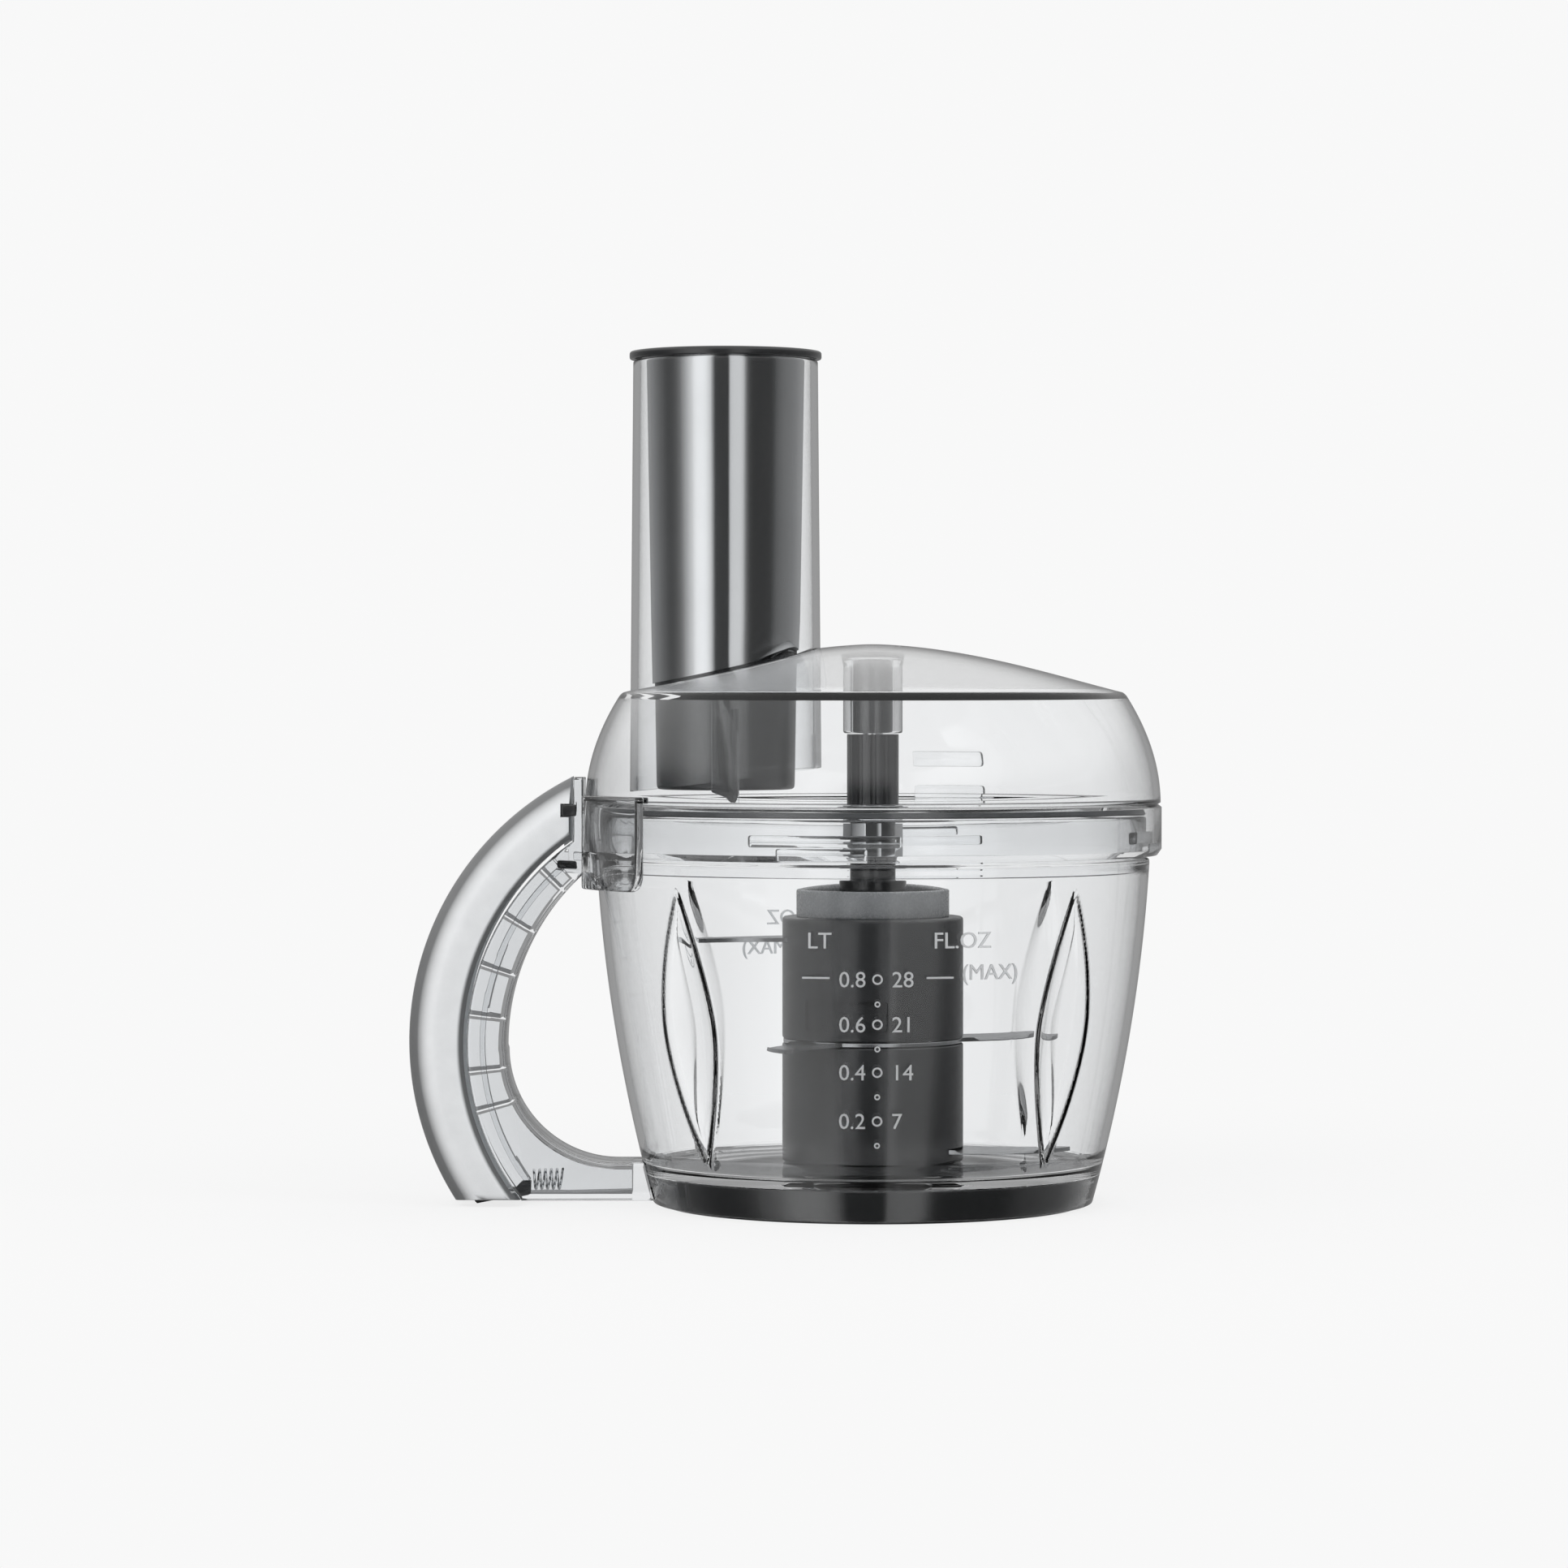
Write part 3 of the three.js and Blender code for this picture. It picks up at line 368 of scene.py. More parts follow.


# edge is the painted shade colour of the clear walls at grazing edges
clearWall = clearMaterial("clear wall", {
    "ior": 1.49, "roughness": (0.0, 0.02), "bump": 0.02,
    "tint": (0.975, 0.981, 0.986), "edge": (0.2, 0.21, 0.22), "edgeShadeFrom": 0.86,
    "through": (0.93, 0.94, 0.945),
})
clearHandle = clearMaterial("clear handle", {
    "ior": 1.49, "roughness": (0.01, 0.05), "bump": 0.03,
    "tint": (0.885, 0.895, 0.905), "edge": (0.12, 0.125, 0.13), "edgeShadeFrom": 0.6,
    "through": (0.93, 0.94, 0.945),
})
frostedMark = opaqueMaterial("raised mark", {
    "dark": (0.8, 0.81, 0.82), "light": (0.86, 0.87, 0.88), "roughness": (0.25, 0.4),
    "grainScale": 900, "bump": 0.05, "bumpDepth": 0.0003, "transmission": 0.6,
})
# turned and rim set the painted shade away from the camera and the painted rim highlight
satinSilver = opaqueMaterial("satin silver", {
    "dark": (0.79, 0.8, 0.81), "light": (0.83, 0.84, 0.85), "metallic": 0.25, "turned": 0.22, "rim": 0.7,
    "roughness": (0.3, 0.42), "grainScale": 2600, "bump": 0.12, "bumpDepth": 0.0003,
})
satinDark = opaqueMaterial("satin dark plastic", {
    "dark": (0.016, 0.0165, 0.0175), "light": (0.021, 0.0215, 0.0225),
    "roughness": (0.19, 0.23), "grainScale": 1400, "bump": 0.01, "bumpDepth": 0.00005,
    "specular": 0.85,
})
satinGrey = opaqueMaterial("satin grey plastic", {
    "dark": (0.16, 0.163, 0.168), "light": (0.2, 0.203, 0.208),
    "roughness": (0.22, 0.32), "grainScale": 1400, "bump": 0.015, "bumpDepth": 0.0003,
    "specular": 0.8,
})
glossDark = opaqueMaterial("gloss dark plastic", {
    "dark": (0.01, 0.0105, 0.011), "light": (0.013, 0.0135, 0.014),
    "roughness": (0.08, 0.12), "grainScale": 700, "bump": 0.01, "bumpDepth": 0.00005, "coat": 0.3,
})
polishedSteel = opaqueMaterial("polished steel", {
    "dark": (0.78, 0.79, 0.8), "light": (0.83, 0.84, 0.85), "metallic": 1,
    "roughness": (0.04, 0.09), "grainScale": 500, "stretch": (1, 1, 0.05), "bump": 0.02,
    "bumpDepth": 0.0003,
})
bladeSteel = opaqueMaterial("blade steel", {
    "dark": (0.5, 0.51, 0.52), "light": (0.6, 0.61, 0.62), "metallic": 1,
    "roughness": (0.16, 0.3), "grainScale": 420, "stretch": (1, 9, 1), "bump": 0.08,
    "bumpDepth": 0.0003,
})
sealRubber = opaqueMaterial("seal rubber", {
    "dark": (0.05, 0.051, 0.053), "light": (0.07, 0.071, 0.073),
    "roughness": (0.5, 0.7), "grainScale": 1800, "bump": 0.15, "bumpDepth": 0.0003,
})
print("finishes ready")

camera = {"place": (-0.0265, -1.561, 0.1534), "aimHeight": 0.1253, "lens": 120.13}
cameraData = bpy.data.cameras.new("camera")
cameraData.lens = camera["lens"]
cameraData.sensor_width = 36
cameraObject = bpy.data.objects.new("camera", cameraData)
cameraObject.location = camera["place"]
aim = Vector((camera["place"][0], 0, camera["aimHeight"])) - Vector(camera["place"])
cameraObject.rotation_euler = aim.to_track_quat("-Z", "Y").to_euler()
scene.collection.objects.link(cameraObject)
scene.camera = cameraObject

bowl = {
    "baseRadius": 65.3, "shoulderRadius": 82.4, "shoulder": 102.5, "bulge": 2.8, "wall": 2.2,
    "skirt": 0.8, "floorTop": 12.8, "floorUnder": 10.4, "rim": 81.4, "rimTop": 116.5,
    "column": 20, "columnTop": 66, "columnRoof": 4, "bushHole": 7.1, "rows": 72,
    "fluteMiddle": 55.5, "fluteHalf": 39.5, "fluteWidth": 10.4, "fluteDepth": 3.9,
}


def bowlRadius(z):
    s = z / bowl["shoulder"]
    straight = bowl["baseRadius"] + (bowl["shoulderRadius"] - bowl["baseRadius"]) * s
    return straight + 4 * bowl["bulge"] * s * (1 - s)


def wallRows(offset, low, high, rows):
    heights = [low + (high - low) * i / rows for i in range(rows + 1)]
    return [(bowlRadius(z) + offset, z) for z in heights]


def fluteAt(x, y, z):
    # how deep a flute is at a place on the wall, in mm
    up = abs(z - bowl["fluteMiddle"]) / bowl["fluteHalf"]
    if up >= 1:
        return 0
    width = bowl["fluteWidth"] * (1 - up ** 1.7)
    around = (math.degrees(math.atan2(y, x)) % 90) - 45
    across = math.radians(around) * math.hypot(x, y) / width
    if abs(across) >= 1:
        return 0
    return bowl["fluteDepth"] * (1 - up ** 2) ** 0.6 * (1 - across ** 2) ** 1.15


wall, skirt, rim, rimTop = bowl["wall"], bowl["skirt"], bowl["rim"], bowl["rimTop"]
floorTop, floorUnder = bowl["floorTop"], bowl["floorUnder"]
column, columnTop, bushHole = bowl["column"], bowl["columnTop"], bowl["bushHole"]
columnInside, roofUnder = column - wall, columnTop - bowl["columnRoof"]
shelf = bowl["shoulderRadius"]
skirtEdge = [(bowlRadius(skirt) - wall, skirt, 0.6), (bowlRadius(skirt), skirt, 0.6), (bowlRadius(3), 3)]
rimEdge = [
    (shelf, 101.9), (shelf - 0.1, 103.2, 0.8), (rim, 103.6, 0.5), (rim, rimTop, 0.9),
    (rim - wall, rimTop, 0.9), (rim - wall, 103), (80.2, 101),
]
floorAndColumn = [
    (66, 16.4), (bowlRadius(floorTop) - wall, floorTop, 3.4), (column, floorTop, 1.5),
    (column, columnTop, 2), (bushHole, columnTop, 0.4), (bushHole, roofUnder, 0.3),
    (columnInside, roofUnder, 1.5), (columnInside, floorUnder, 1),
    (bowlRadius(floorUnder) - wall, floorUnder, 0.8), (bowlRadius(skirt) - wall, skirt),
]
bowlProfile = (
    rounded(skirtEdge, False)[1:]
    + wallRows(0, 4, bowl["shoulder"] - 0.6, bowl["rows"])
    + rounded(rimEdge, False)[1:]
    + wallRows(-wall, 16.4, 98.5, 60)[::-1]
    + rounded(floorAndColumn, False, 3)[1:-1]
)
# the wall is cut finer where the flutes are
quarter = [(30, 8), (30, 64), (30, 8)]
bowlMesh = spun(bowlProfile, sectors=quarter * 4)
for v in bowlMesh.verts:
    reach = math.hypot(v.co.x, v.co.y)
    if reach / mm > bowlRadius(v.co.z / mm) - wall - 0.6:
        depth = fluteAt(v.co.x / mm, v.co.y / mm, v.co.z / mm) * mm
        v.co.x *= 1 - depth / reach
        v.co.y *= 1 - depth / reach
bmesh.ops.recalc_face_normals(bowlMesh, faces=bowlMesh.faces)

# bayonet ribs on the rim
lug = {"start": 244, "end": 274.6, "low": 108.7, "top": 112.1, "corner": 0.8, "reach": 2.0}
lugLength = math.radians(lug["end"] - lug["start"]) * bowl["rim"]
lugs = []
for k in range(4):
    outline = box(0, lugLength, lug["low"], lug["top"], lug["corner"])
    rail = sliced(slab(outline, -lug["reach"], 0.1, 0.3, 2), 1.5)
    lugs.append(wrapped(rail, lug["start"] + 90 * k, lambda z: bowl["rim"]))
finished("bowl_wall", joined([bowlMesh, *lugs]), clearWall, "base", ["bowl_shell"])
print("bowl ready")

# graduations on the bowl's front and back
scale = {"raise": 0.5, "sink": 0.08, "size": 6.4, "drop": 2.2, "ring": 1.5, "dot": 0.85, "dotDrop": 7.1}


def letters(text, size, x, z, align="LEFT"):
    curve = bpy.data.curves.new("letters", "FONT")
    curve.body = text
    curve.size = size * mm
    curve.align_x = align
    curve.resolution_u = 3
    holder = bpy.data.objects.new("letters", curve)
    scene.collection.objects.link(holder)
    bpy.context.view_layer.update()
    flat = bpy.data.meshes.new_from_object(holder)
    bm = bmesh.new()
    bm.from_mesh(flat)
    bpy.data.objects.remove(holder)
    bpy.data.meshes.remove(flat)
    bmesh.ops.remove_doubles(bm, verts=bm.verts, dist=1e-7)
    bmesh.ops.rotate(bm, cent=(0, 0, 0), matrix=Matrix.Rotation(math.pi / 2, 3, "X"), verts=bm.verts)
    bmesh.ops.translate(bm, vec=(x * mm, 0, z * mm), verts=bm.verts)
    return raisedFrom(bm)


def raisedFrom(bm):
    for v in bm.verts:
        v.co.y = scale["sink"] * mm
    pushed = bmesh.ops.extrude_face_region(bm, geom=bm.faces[:])["geom"]
    top = [v for v in pushed if isinstance(v, bmesh.types.BMVert)]
    bmesh.ops.translate(bm, verts=top, vec=(0, -(scale["raise"] + scale["sink"]) * mm, 0))
    return closeUp(bm, 1e-7)


def bar(x0, x1, middle, height=0.55):
    bm = bmesh.new()
    corners = box(x0, x1, middle - height / 2, middle + height / 2, 0)
    bm.faces.new([bm.verts.new((x * mm, 0, z * mm)) for x, z in corners])
    return raisedFrom(bm)


def smallRing(radius, z, thick=0.5):
    bm = bmesh.new()
    loops = []
    for r in (radius - thick, radius):
        upright = Matrix.Rotation(math.pi / 2, 4, "X")
        loop = bmesh.ops.create_circle(bm, segments=20, radius=r * mm, matrix=upright)
        loops += list({e for v in loop["verts"] for e in v.link_edges})
    bmesh.ops.bridge_loops(bm, edges=loops)
    bmesh.ops.translate(bm, vec=(0, 0, z * mm), verts=bm.verts)
    return raisedFrom(bm)


marks = [
    ("0.2", "7", 30.5), ("0.4", "14", 44.6), ("0.6", "21", 58.4), ("0.8", "28", 71.3),
]
heads = [("LT", 6.6, -20.2, 80.1), ("FL.OZ", 6.6, 15.8, 80.1), ("(MAX)", 6.4, 24.2, 71.0)]
bars = [(-21.5, -13.6, 71.7), (14.0, 21.8, 71.7)]
for side, azimuth in (("front", 270), ("back", 90)):
    shapes = [letters(*head) for head in heads] + [bar(*span) for span in bars]
    for left, right, z in marks:
        shapes.append(letters(left, scale["size"], -3.2, z - scale["drop"], "RIGHT"))
        shapes.append(letters(right, scale["size"], 4.0, z - scale["drop"]))
        shapes.append(smallRing(scale["ring"], z))
        shapes.append(smallRing(scale["dot"], z - scale["dotDrop"], 0.4))
    everyMark = wrapped(sliced(joined(shapes), 2.5), azimuth, bowlRadius)
    finished(f"graduations_{side}", everyMark, frostedMark, "base", sharpAngle=25)
print("graduations ready")

# the dark collar under the bowl, with the bushes and the seal
collar = {"top": 10.1, "web": 2.2, "wall": 2.6, "gap": 0.3}
webUnder = collar["top"] - collar["web"]
outerLow = bowlRadius(0) - wall - collar["gap"]
outerTop = bowlRadius(collar["top"]) - wall - collar["gap"]
innerLow = outerLow - collar["wall"]
collarProfile = rounded([
    (outerLow, 0, 0.8), (outerTop, collar["top"], 0.6), (bushHole, collar["top"], 0.3),
    (bushHole, webUnder, 0.3), (innerLow, webUnder, 0.8), (innerLow, 0, 0.8),
])
finished("base_collar_ring", spun(collarProfile, 144), glossDark, "base", ["base_collar"])

bush = {"bore": 4.9, "radius": 6.8, "flange": 8.6, "flangeThick": 1.2}


def bushProfile(low, high, flangeLow):
    bore, radius, flange = bush["bore"], bush["radius"], bush["flange"]
    flangeHigh = flangeLow + bush["flangeThick"]
    return rounded([
        (bore, low, 0.2), (radius, low, 0.2), (radius, flangeLow), (flange, flangeLow, 0.3),
        (flange, flangeHigh, 0.3), (radius, flangeHigh), (radius, high, 0.2), (bore, high, 0.2),
    ], steps=2)


for which, low, high, flangeLow in (("lower", 7.9, 14.6, 10.4), ("upper", 57.5, 66, 60.5)):
    bushShape = spun(bushProfile(low, high, flangeLow), 48)
    finished(f"{which}_bush_sleeve", bushShape, satinDark, "base", [f"{which}_bush"])
sealProfile = rounded([
    (4.9, 66.3, 0.3), (8.8, 66.3, 0.4), (8.2, 67.2, 0.3), (8.8, 68, 0.4), (4.9, 68, 0.3),
], steps=3)
finished("shaft_seal_ring", spun(sealProfile, 48), sealRubber, "base", ["shaft_seal"])
print("base ready")

handle = {
    "bottom": 1.8, "outerArc": (-50, 49, 87.93), "innerArc": (-47, 48, 74), "topX": -89.5,
    "halfDepth": 13, "coverWall": 2.2, "outerRound": 9, "innerRound": 3, "roundSteps": 9,
    "hollowHalf": 10.8, "frameHalf": 11.5, "frameTop": 127.24, "fingerArc": (-40.3, 47, 69),
    "elbowArc": (-76, 46, 33), "armTop": 13, "frameWall": 2, "channelOuter": 78, "channelTop": 100.2,
    "ribs": [97, 84, 70, 56, 40, 29], "ribHalfAngle": 0.5,
}
link = {"arc": (-46, 48, 70), "thick": 1.6, "half": 4, "top": 99.8, "low": 7.5}
linkX, linkZ, linkRadius = link["arc"]


def angleAtZ(a, z):
    return 180 - math.degrees(math.asin((z - a[1]) / a[2]))


def angleAtX(a, x):
    return math.degrees(math.acos((x - a[0]) / a[2]))


def coverLoop(shrinkOuter, shrinkInner, ends):
    outer = (*handle["outerArc"][:2], handle["outerArc"][2] - shrinkOuter)
    inner = (*handle["innerArc"][:2], handle["innerArc"][2] + shrinkInner)
    low, right = handle["bottom"] + ends, handle["topX"] - ends
    return (
        arc(*outer, angleAtX(outer, right), angleAtZ(outer, low), 72)
        + arc(*inner, angleAtZ(inner, low), angleAtX(inner, right), 72)
    )


def coverSkin():
    # loops from the front cap, over the rounded edge, to the back cap
    bm = bmesh.new()
    half, steps = handle["halfDepth"], handle["roundSteps"]
    sections = []
    for side in (-1, 1):
        for k in range(steps + 1):
            a = math.pi / 2 * (k / steps if side < 0 else 1 - k / steps)
            outer = handle["outerRound"] * (1 - math.sin(a))
            inner = handle["innerRound"] * (1 - math.sin(a))
            y = side * (half - handle["innerRound"] * 2 * (1 - math.cos(a)))
            sections.append((outer, inner, 0.8 * (1 - math.sin(a)), y))
    loops = []
    for outer, inner, ends, y in sections:
        verts = [bm.verts.new((x * mm, y * mm, z * mm)) for x, z in coverLoop(outer, inner, ends)]
        edges = [bm.edges.new(pair) for pair in zip(verts, verts[1:] + verts[:1])]
        loops.append((verts, edges))
    for first, second in zip(loops, loops[1:]):
        bmesh.ops.bridge_loops(bm, edges=first[1] + second[1])
    for verts, _ in (loops[0], loops[-1]):
        count = len(verts)
        for i in range(count // 2 - 1):
            bm.faces.new((verts[i], verts[i + 1], verts[count - 2 - i], verts[count - 1 - i]))
    return closeUp(bm)


def coverHollow():
    outer = (*handle["outerArc"][:2], handle["outerArc"][2] - handle["coverWall"])
    inner = (*handle["innerArc"][:2], handle["innerArc"][2] - 1)
    low, right = handle["bottom"] + handle["coverWall"], handle["topX"] - handle["coverWall"]
    outline = (
        arc(*outer, angleAtX(outer, right), angleAtZ(outer, low), 60)
        + arc(*inner, angleAtZ(inner, low), angleAtX(inner, right), 60)
    )
    return slab(outline, -handle["hollowHalf"], handle["hollowHalf"])


tipSlot = slab([(-127, -5), (-99, -5), (-99, 6.3), (-127, 6.3)], -3.1, 3.1)
coverMesh = cutWith(cutWith(coverSkin(), coverHollow()), tipSlot)
clip = {"x": -90.2, "z": 117.7, "length": 4.4, "height": 3.4, "depth": 2.6, "room": 0.3}


def clipOutline(grow, corner):
    x, z, across, up = clip["x"], clip["z"], clip["length"] / 2 + grow, clip["height"] / 2 + grow
    return box(x - across, x + across, z - up, z + up, corner)


clipHoles = joined([slab(clipOutline(clip["room"], 0), y, y + 3.2) for y in (-13.1, 9.9)])
coverMesh = cutWith(coverMesh, clipHoles)
finished("handle_cover_shell", coverMesh, satinSilver, "base", ["handle_cover"], 40)

for side, y in (("front", -12.8), ("back", 10.2)):
    block = slab(clipOutline(0, 0.5), y, y + clip["depth"], 0.35)
    finished(f"cover_clip_{side}_block", block, satinDark, "base", [f"cover_clip_{side}"])
print("handle cover ready")


def channelEdge(angle):
    # from the link's centre outwards to the inner wall of the channel
    a = math.radians(angle)
    finger, elbow = handle["fingerArc"], handle["elbowArc"]
    reach = 20
    while reach < 76:
        x, z = linkX + reach * math.cos(a), linkZ + reach * math.sin(a)
        centre = finger if z >= 46.5 else elbow
        if math.hypot(x - centre[0], z - centre[1]) >= centre[2] + handle["frameWall"]:
            break
        reach += 0.05
    return x, z


def channelCells():
    # the rooms between the ribs, from the top down, and then the one in the lower arm
    ribAngles = [angleAtZ(link["arc"], z) for z in handle["ribs"]]
    gap, channelOuter = handle["ribHalfAngle"], handle["channelOuter"]
    starts = [angleAtZ(link["arc"], handle["channelTop"])] + [a + gap for a in ribAngles]
    ends = [a - gap for a in ribAngles]
    wallOfFrame = handle["frameWall"]
    half = handle["frameHalf"] - wallOfFrame
    cells = []
    for start, end in zip(starts, ends):
        steps = max(4, int((end - start) / 1.2))
        turns = [start + (end - start) * i / steps for i in range(steps + 1)]
        outline = arc(linkX, linkZ, channelOuter, start, end, steps) + [channelEdge(a) for a in turns][::-1]
        cells.append(slab(outline, -half, half))
    start = starts[-1]
    elbowX, elbowZ, elbowRadius = handle["elbowArc"]
    edgeX, edgeZ = channelEdge(start)
    elbowStart = math.degrees(math.atan2(edgeZ - elbowZ, edgeX - elbowX)) % 360
    armLow, armHigh, armEnd = handle["bottom"] + wallOfFrame, handle["armTop"] - wallOfFrame, -71.6
    outline = (
        arc(linkX, linkZ, channelOuter, start, angleAtZ((linkX, linkZ, channelOuter), armLow), 14)
        + [(armEnd, armLow), (armEnd, armHigh)]
        + arc(elbowX, elbowZ, elbowRadius + wallOfFrame, 270, elbowStart, 30)
    )
    cells.append(slab(outline, -half, half))
    return joined(cells)


def bowlSpace(grow, low, high):
    return spun([(0, low)] + wallRows(grow, low, high, 24) + [(0, high)], 160, closed=False)


def frameOutline():
    inner = (*handle["innerArc"][:2], handle["innerArc"][2] - 0.3)
    topX, top = handle["topX"] + 0.3, handle["frameTop"]
    return (
        [(-60, 102.5), (-60, top), (topX, top)]
        + arc(*inner, angleAtX(inner, topX), angleAtZ(inner, handle["bottom"]), 80)
        + [(-60, handle["bottom"]), (-60, handle["armTop"])]
        + arc(*handle["elbowArc"], 270, 180, 40)
        + arc(*handle["fingerArc"], 180, angleAtZ(handle["fingerArc"], 100.5), 50)
    )


frameMesh = slab(frameOutline(), -handle["frameHalf"], handle["frameHalf"], 1.1, 4)
lidSpace = spun([(0, 103.4), (86.8, 103.4), (86.8, 132), (0, 132)], 160, closed=False)
headSlot = slab([(-95, 99), (-84, 99), (-84, 104.9), (-95, 104.9)], -3.1, 3.1)
camSlot = slab([(-90.5, 100), (-80, 100), (-80, 132), (-90.5, 132)], -5, 5)
for room in (channelCells(), bowlSpace(0.3, 0.0, 104), lidSpace, headSlot, camSlot):
    frameMesh = cutWith(frameMesh, room)
finished("handle_frame_clear", frameMesh, clearHandle, "base", ["handle_frame"])
print("handle frame ready")

# the safety link and its spring
outerLink = (linkX, linkZ, linkRadius + link["thick"] / 2)
innerLink = (linkX, linkZ, linkRadius - link["thick"] / 2)
linkOutline = (
    arc(*outerLink, angleAtZ(outerLink, link["top"]), angleAtZ(outerLink, link["low"]), 60)
    + arc(*innerLink, angleAtZ(innerLink, link["low"]), angleAtZ(innerLink, link["top"]), 60)
)
strip = slab(linkOutline, -link["half"], link["half"], 0.3, 2)
finished("link_strip", strip, clearHandle, "interlock", ["interlock_link"])
headOutline = box(-93.88, -88.28, 100.1, 102.3, 0.5, 0.5, 0.8, 0.8)
head = slab(headOutline, -2.4, 2.4, 0.4)
finished("link_head", head, satinDark, "interlock", ["interlock_head"])
tipX = linkX - math.sqrt(linkRadius ** 2 - (link["low"] - linkZ) ** 2)
tipOutline = rounded([
    (tipX - 1.5, 7.2, 0.4), (tipX + 1.2, 7.2, 0.4), (tipX + 1.2, 3.4, 0.8), (tipX - 15, 0.2, 0.4),
    (tipX - 16, 1.2, 0.4), (tipX - 4, 4.4, 1.2),
], steps=3)
tip = slab(tipOutline, -2.5, 2.5, 0.35)
finished("link_tip", tip, satinDark, "interlock", ["interlock_tip"])

spring = {"radius": 2.7, "wire": 0.75, "turns": 5, "length": 9.4, "z": 7.4}
springRight = tipX + 1.2 + 0.3 + spring["length"]
coil = bmesh.new()
bmesh.ops.create_circle(
    coil, segments=10, radius=spring["wire"] / 2 * mm,
    matrix=Matrix.Translation((0, 0, spring["radius"] * mm)) @ Matrix.Rotation(math.pi / 2, 4, "X"),
)
pitch = (spring["length"] - spring["wire"]) * mm
coilSteps = spring["turns"] * 28
bmesh.ops.spin(
    coil, geom=coil.verts[:] + coil.edges[:], cent=(0, 0, 0), axis=(1, 0, 0),
    dvec=(pitch / coilSteps, 0, 0), angle=math.radians(360 * spring["turns"]), steps=coilSteps,
    use_merge=False,
)
bmesh.ops.holes_fill(coil, edges=[e for e in coil.edges if e.is_boundary], sides=0)
closeUp(coil)
moved(coil, x=springRight - spring["length"] + spring["wire"] / 2, z=spring["z"])
finished("return_spring", coil, polishedSteel, "base", ["interlock_spring"])
print("safety link ready")

# the knife set
spindle = spun(rounded([(0, 2.7), (4.5, 2.7, 0.6), (4.5, 82, 0.8), (0, 82)], False), 48, False)
finished("drive_spindle", spindle, polishedSteel, "knife", ["spindle"])
clipRing = spun(box(4.8, 7.5, 56.2, 57.2, 0.2, 0.3, 0.3, 0.2, steps=4), 48)
finished("spindle_clip_ring", clipRing, polishedSteel, "knife", ["spindle_clip"])
washer = spun(box(4.8, 9, 6.9, 7.6, 0.15, steps=4), 48)
finished("thrust_washer_ring", washer, polishedSteel, "knife", ["thrust_washer"])

coupling = {"radius": 14, "low": 0.4, "top": 6.6, "socketFloor": 2.4, "teeth": 6, "groove": 3.4}
couplingOutline = []
toothTurn = 360 / coupling["teeth"]
bite = math.degrees(2 * math.asin(coupling["groove"] / 2 / coupling["radius"]))
for k in range(coupling["teeth"]):
    at = toothTurn * k
    cx, cy = coupling["radius"] * math.cos(math.radians(at)), coupling["radius"] * math.sin(math.radians(at))
    couplingOutline += arc(cx, cy, coupling["groove"], at + 97, at + 263, 10)[::-1]
    couplingOutline += arc(0, 0, coupling["radius"], at + bite, at + toothTurn - bite, 6)
teeth = plate(couplingOutline, coupling["low"], coupling["top"], 0.3)
teeth = cutWith(teeth, drill(4.8, coupling["socketFloor"], 8))
finished("drive_coupling_star", teeth, satinDark, "knife", ["drive_coupling"])

hub = {"radius": 27, "wall": 2.8, "low": 13.2, "split": 48.2, "upperLow": 50, "top": 86}
hubInner = hub["radius"] - hub["wall"]
lowerProfile = rounded([
    (hubInner, hub["low"], 0.6), (hub["radius"], hub["low"], 0.9), (hub["radius"], hub["split"], 0.5),
    (hubInner, hub["split"], 0.4),
])
lowerBladeGap = moved(slab([(0, 15.9), (40, 15.9), (40, 17.7), (0, 17.7)], -8.8, 8.8), turn=-16)
lowerHub = cutWith(spun(lowerProfile, 96), lowerBladeGap)
finished("hub_lower_sleeve", lowerHub, satinDark, "knife", ["hub_lower"])
upperProfile = rounded([
    (0, hub["top"]), (hub["radius"], hub["top"], 1.2), (hub["radius"], hub["upperLow"], 0.5),
    (hubInner, hub["upperLow"], 0.4), (hubInner, 83.4, 1), (8.5, 83.4, 1), (8.5, 70.5, 0.5),
    (4.8, 70.5, 0.4), (4.8, 82.3, 0.3), (0, 82.3),
], False)
upperHub = spun(upperProfile, 96, closed=False)
pocket = sliced(slab(box(-13.5, 13.5, 53, 62, 1.2), -1, 1.2), 1.5)
upperHub = cutWith(upperHub, wrapped(pocket, 250, lambda z: hub["radius"]))
upperBladeGap = slab([(-40, 78.3), (-9.5, 78.3), (-9.5, 80.1), (-40, 80.1)], -8.8, 8.8)
upperHub = cutWith(upperHub, upperBladeGap)
finished("hub_upper_cap", upperHub, satinDark, "knife", ["hub_upper"])
collarRing = box(20.4, 22.8, 86, 94, 0.2, 0.2, 0.6, 0.6, steps=4)
finished("hub_collar_ring", spun(collarRing, 96), satinGrey, "knife", ["hub_collar"])
print("hub ready")

blade = {"thick": 1.2, "edge": 0.25, "root": 17, "sweep": 12.75}


def bezier(a, b, c, steps):
    return [
        tuple(Vector(a) * (1 - t) ** 2 + Vector(b) * 2 * t * (1 - t) + Vector(c) * t ** 2)
        for t in [i / steps for i in range(steps + 1)]
    ]


def wing(root, tip, low, angle):
    half = blade["root"] / 2
    reach = tip - root
    outline = (
        bezier((root, -half), (root + reach * 0.75, -half), (tip - 1, blade["sweep"]), 24)
        + bezier((tip - 4, blade["sweep"] + 1), (root + reach * 0.5, half * 0.7), (root, half), 24)
    )
    bm = plate(outline, low, low + blade["thick"])
    # the leading edge is ground thin
    for v in bm.verts:
        isTop = v.co.z > (low + blade["thick"] / 2) * mm
        isEdge = v.co.y < 0 and isTop
        if isEdge and v.co.x > (root + 6) * mm:
            v.co.z -= (blade["thick"] - blade["edge"]) * mm
    return moved(bm, turn=angle)


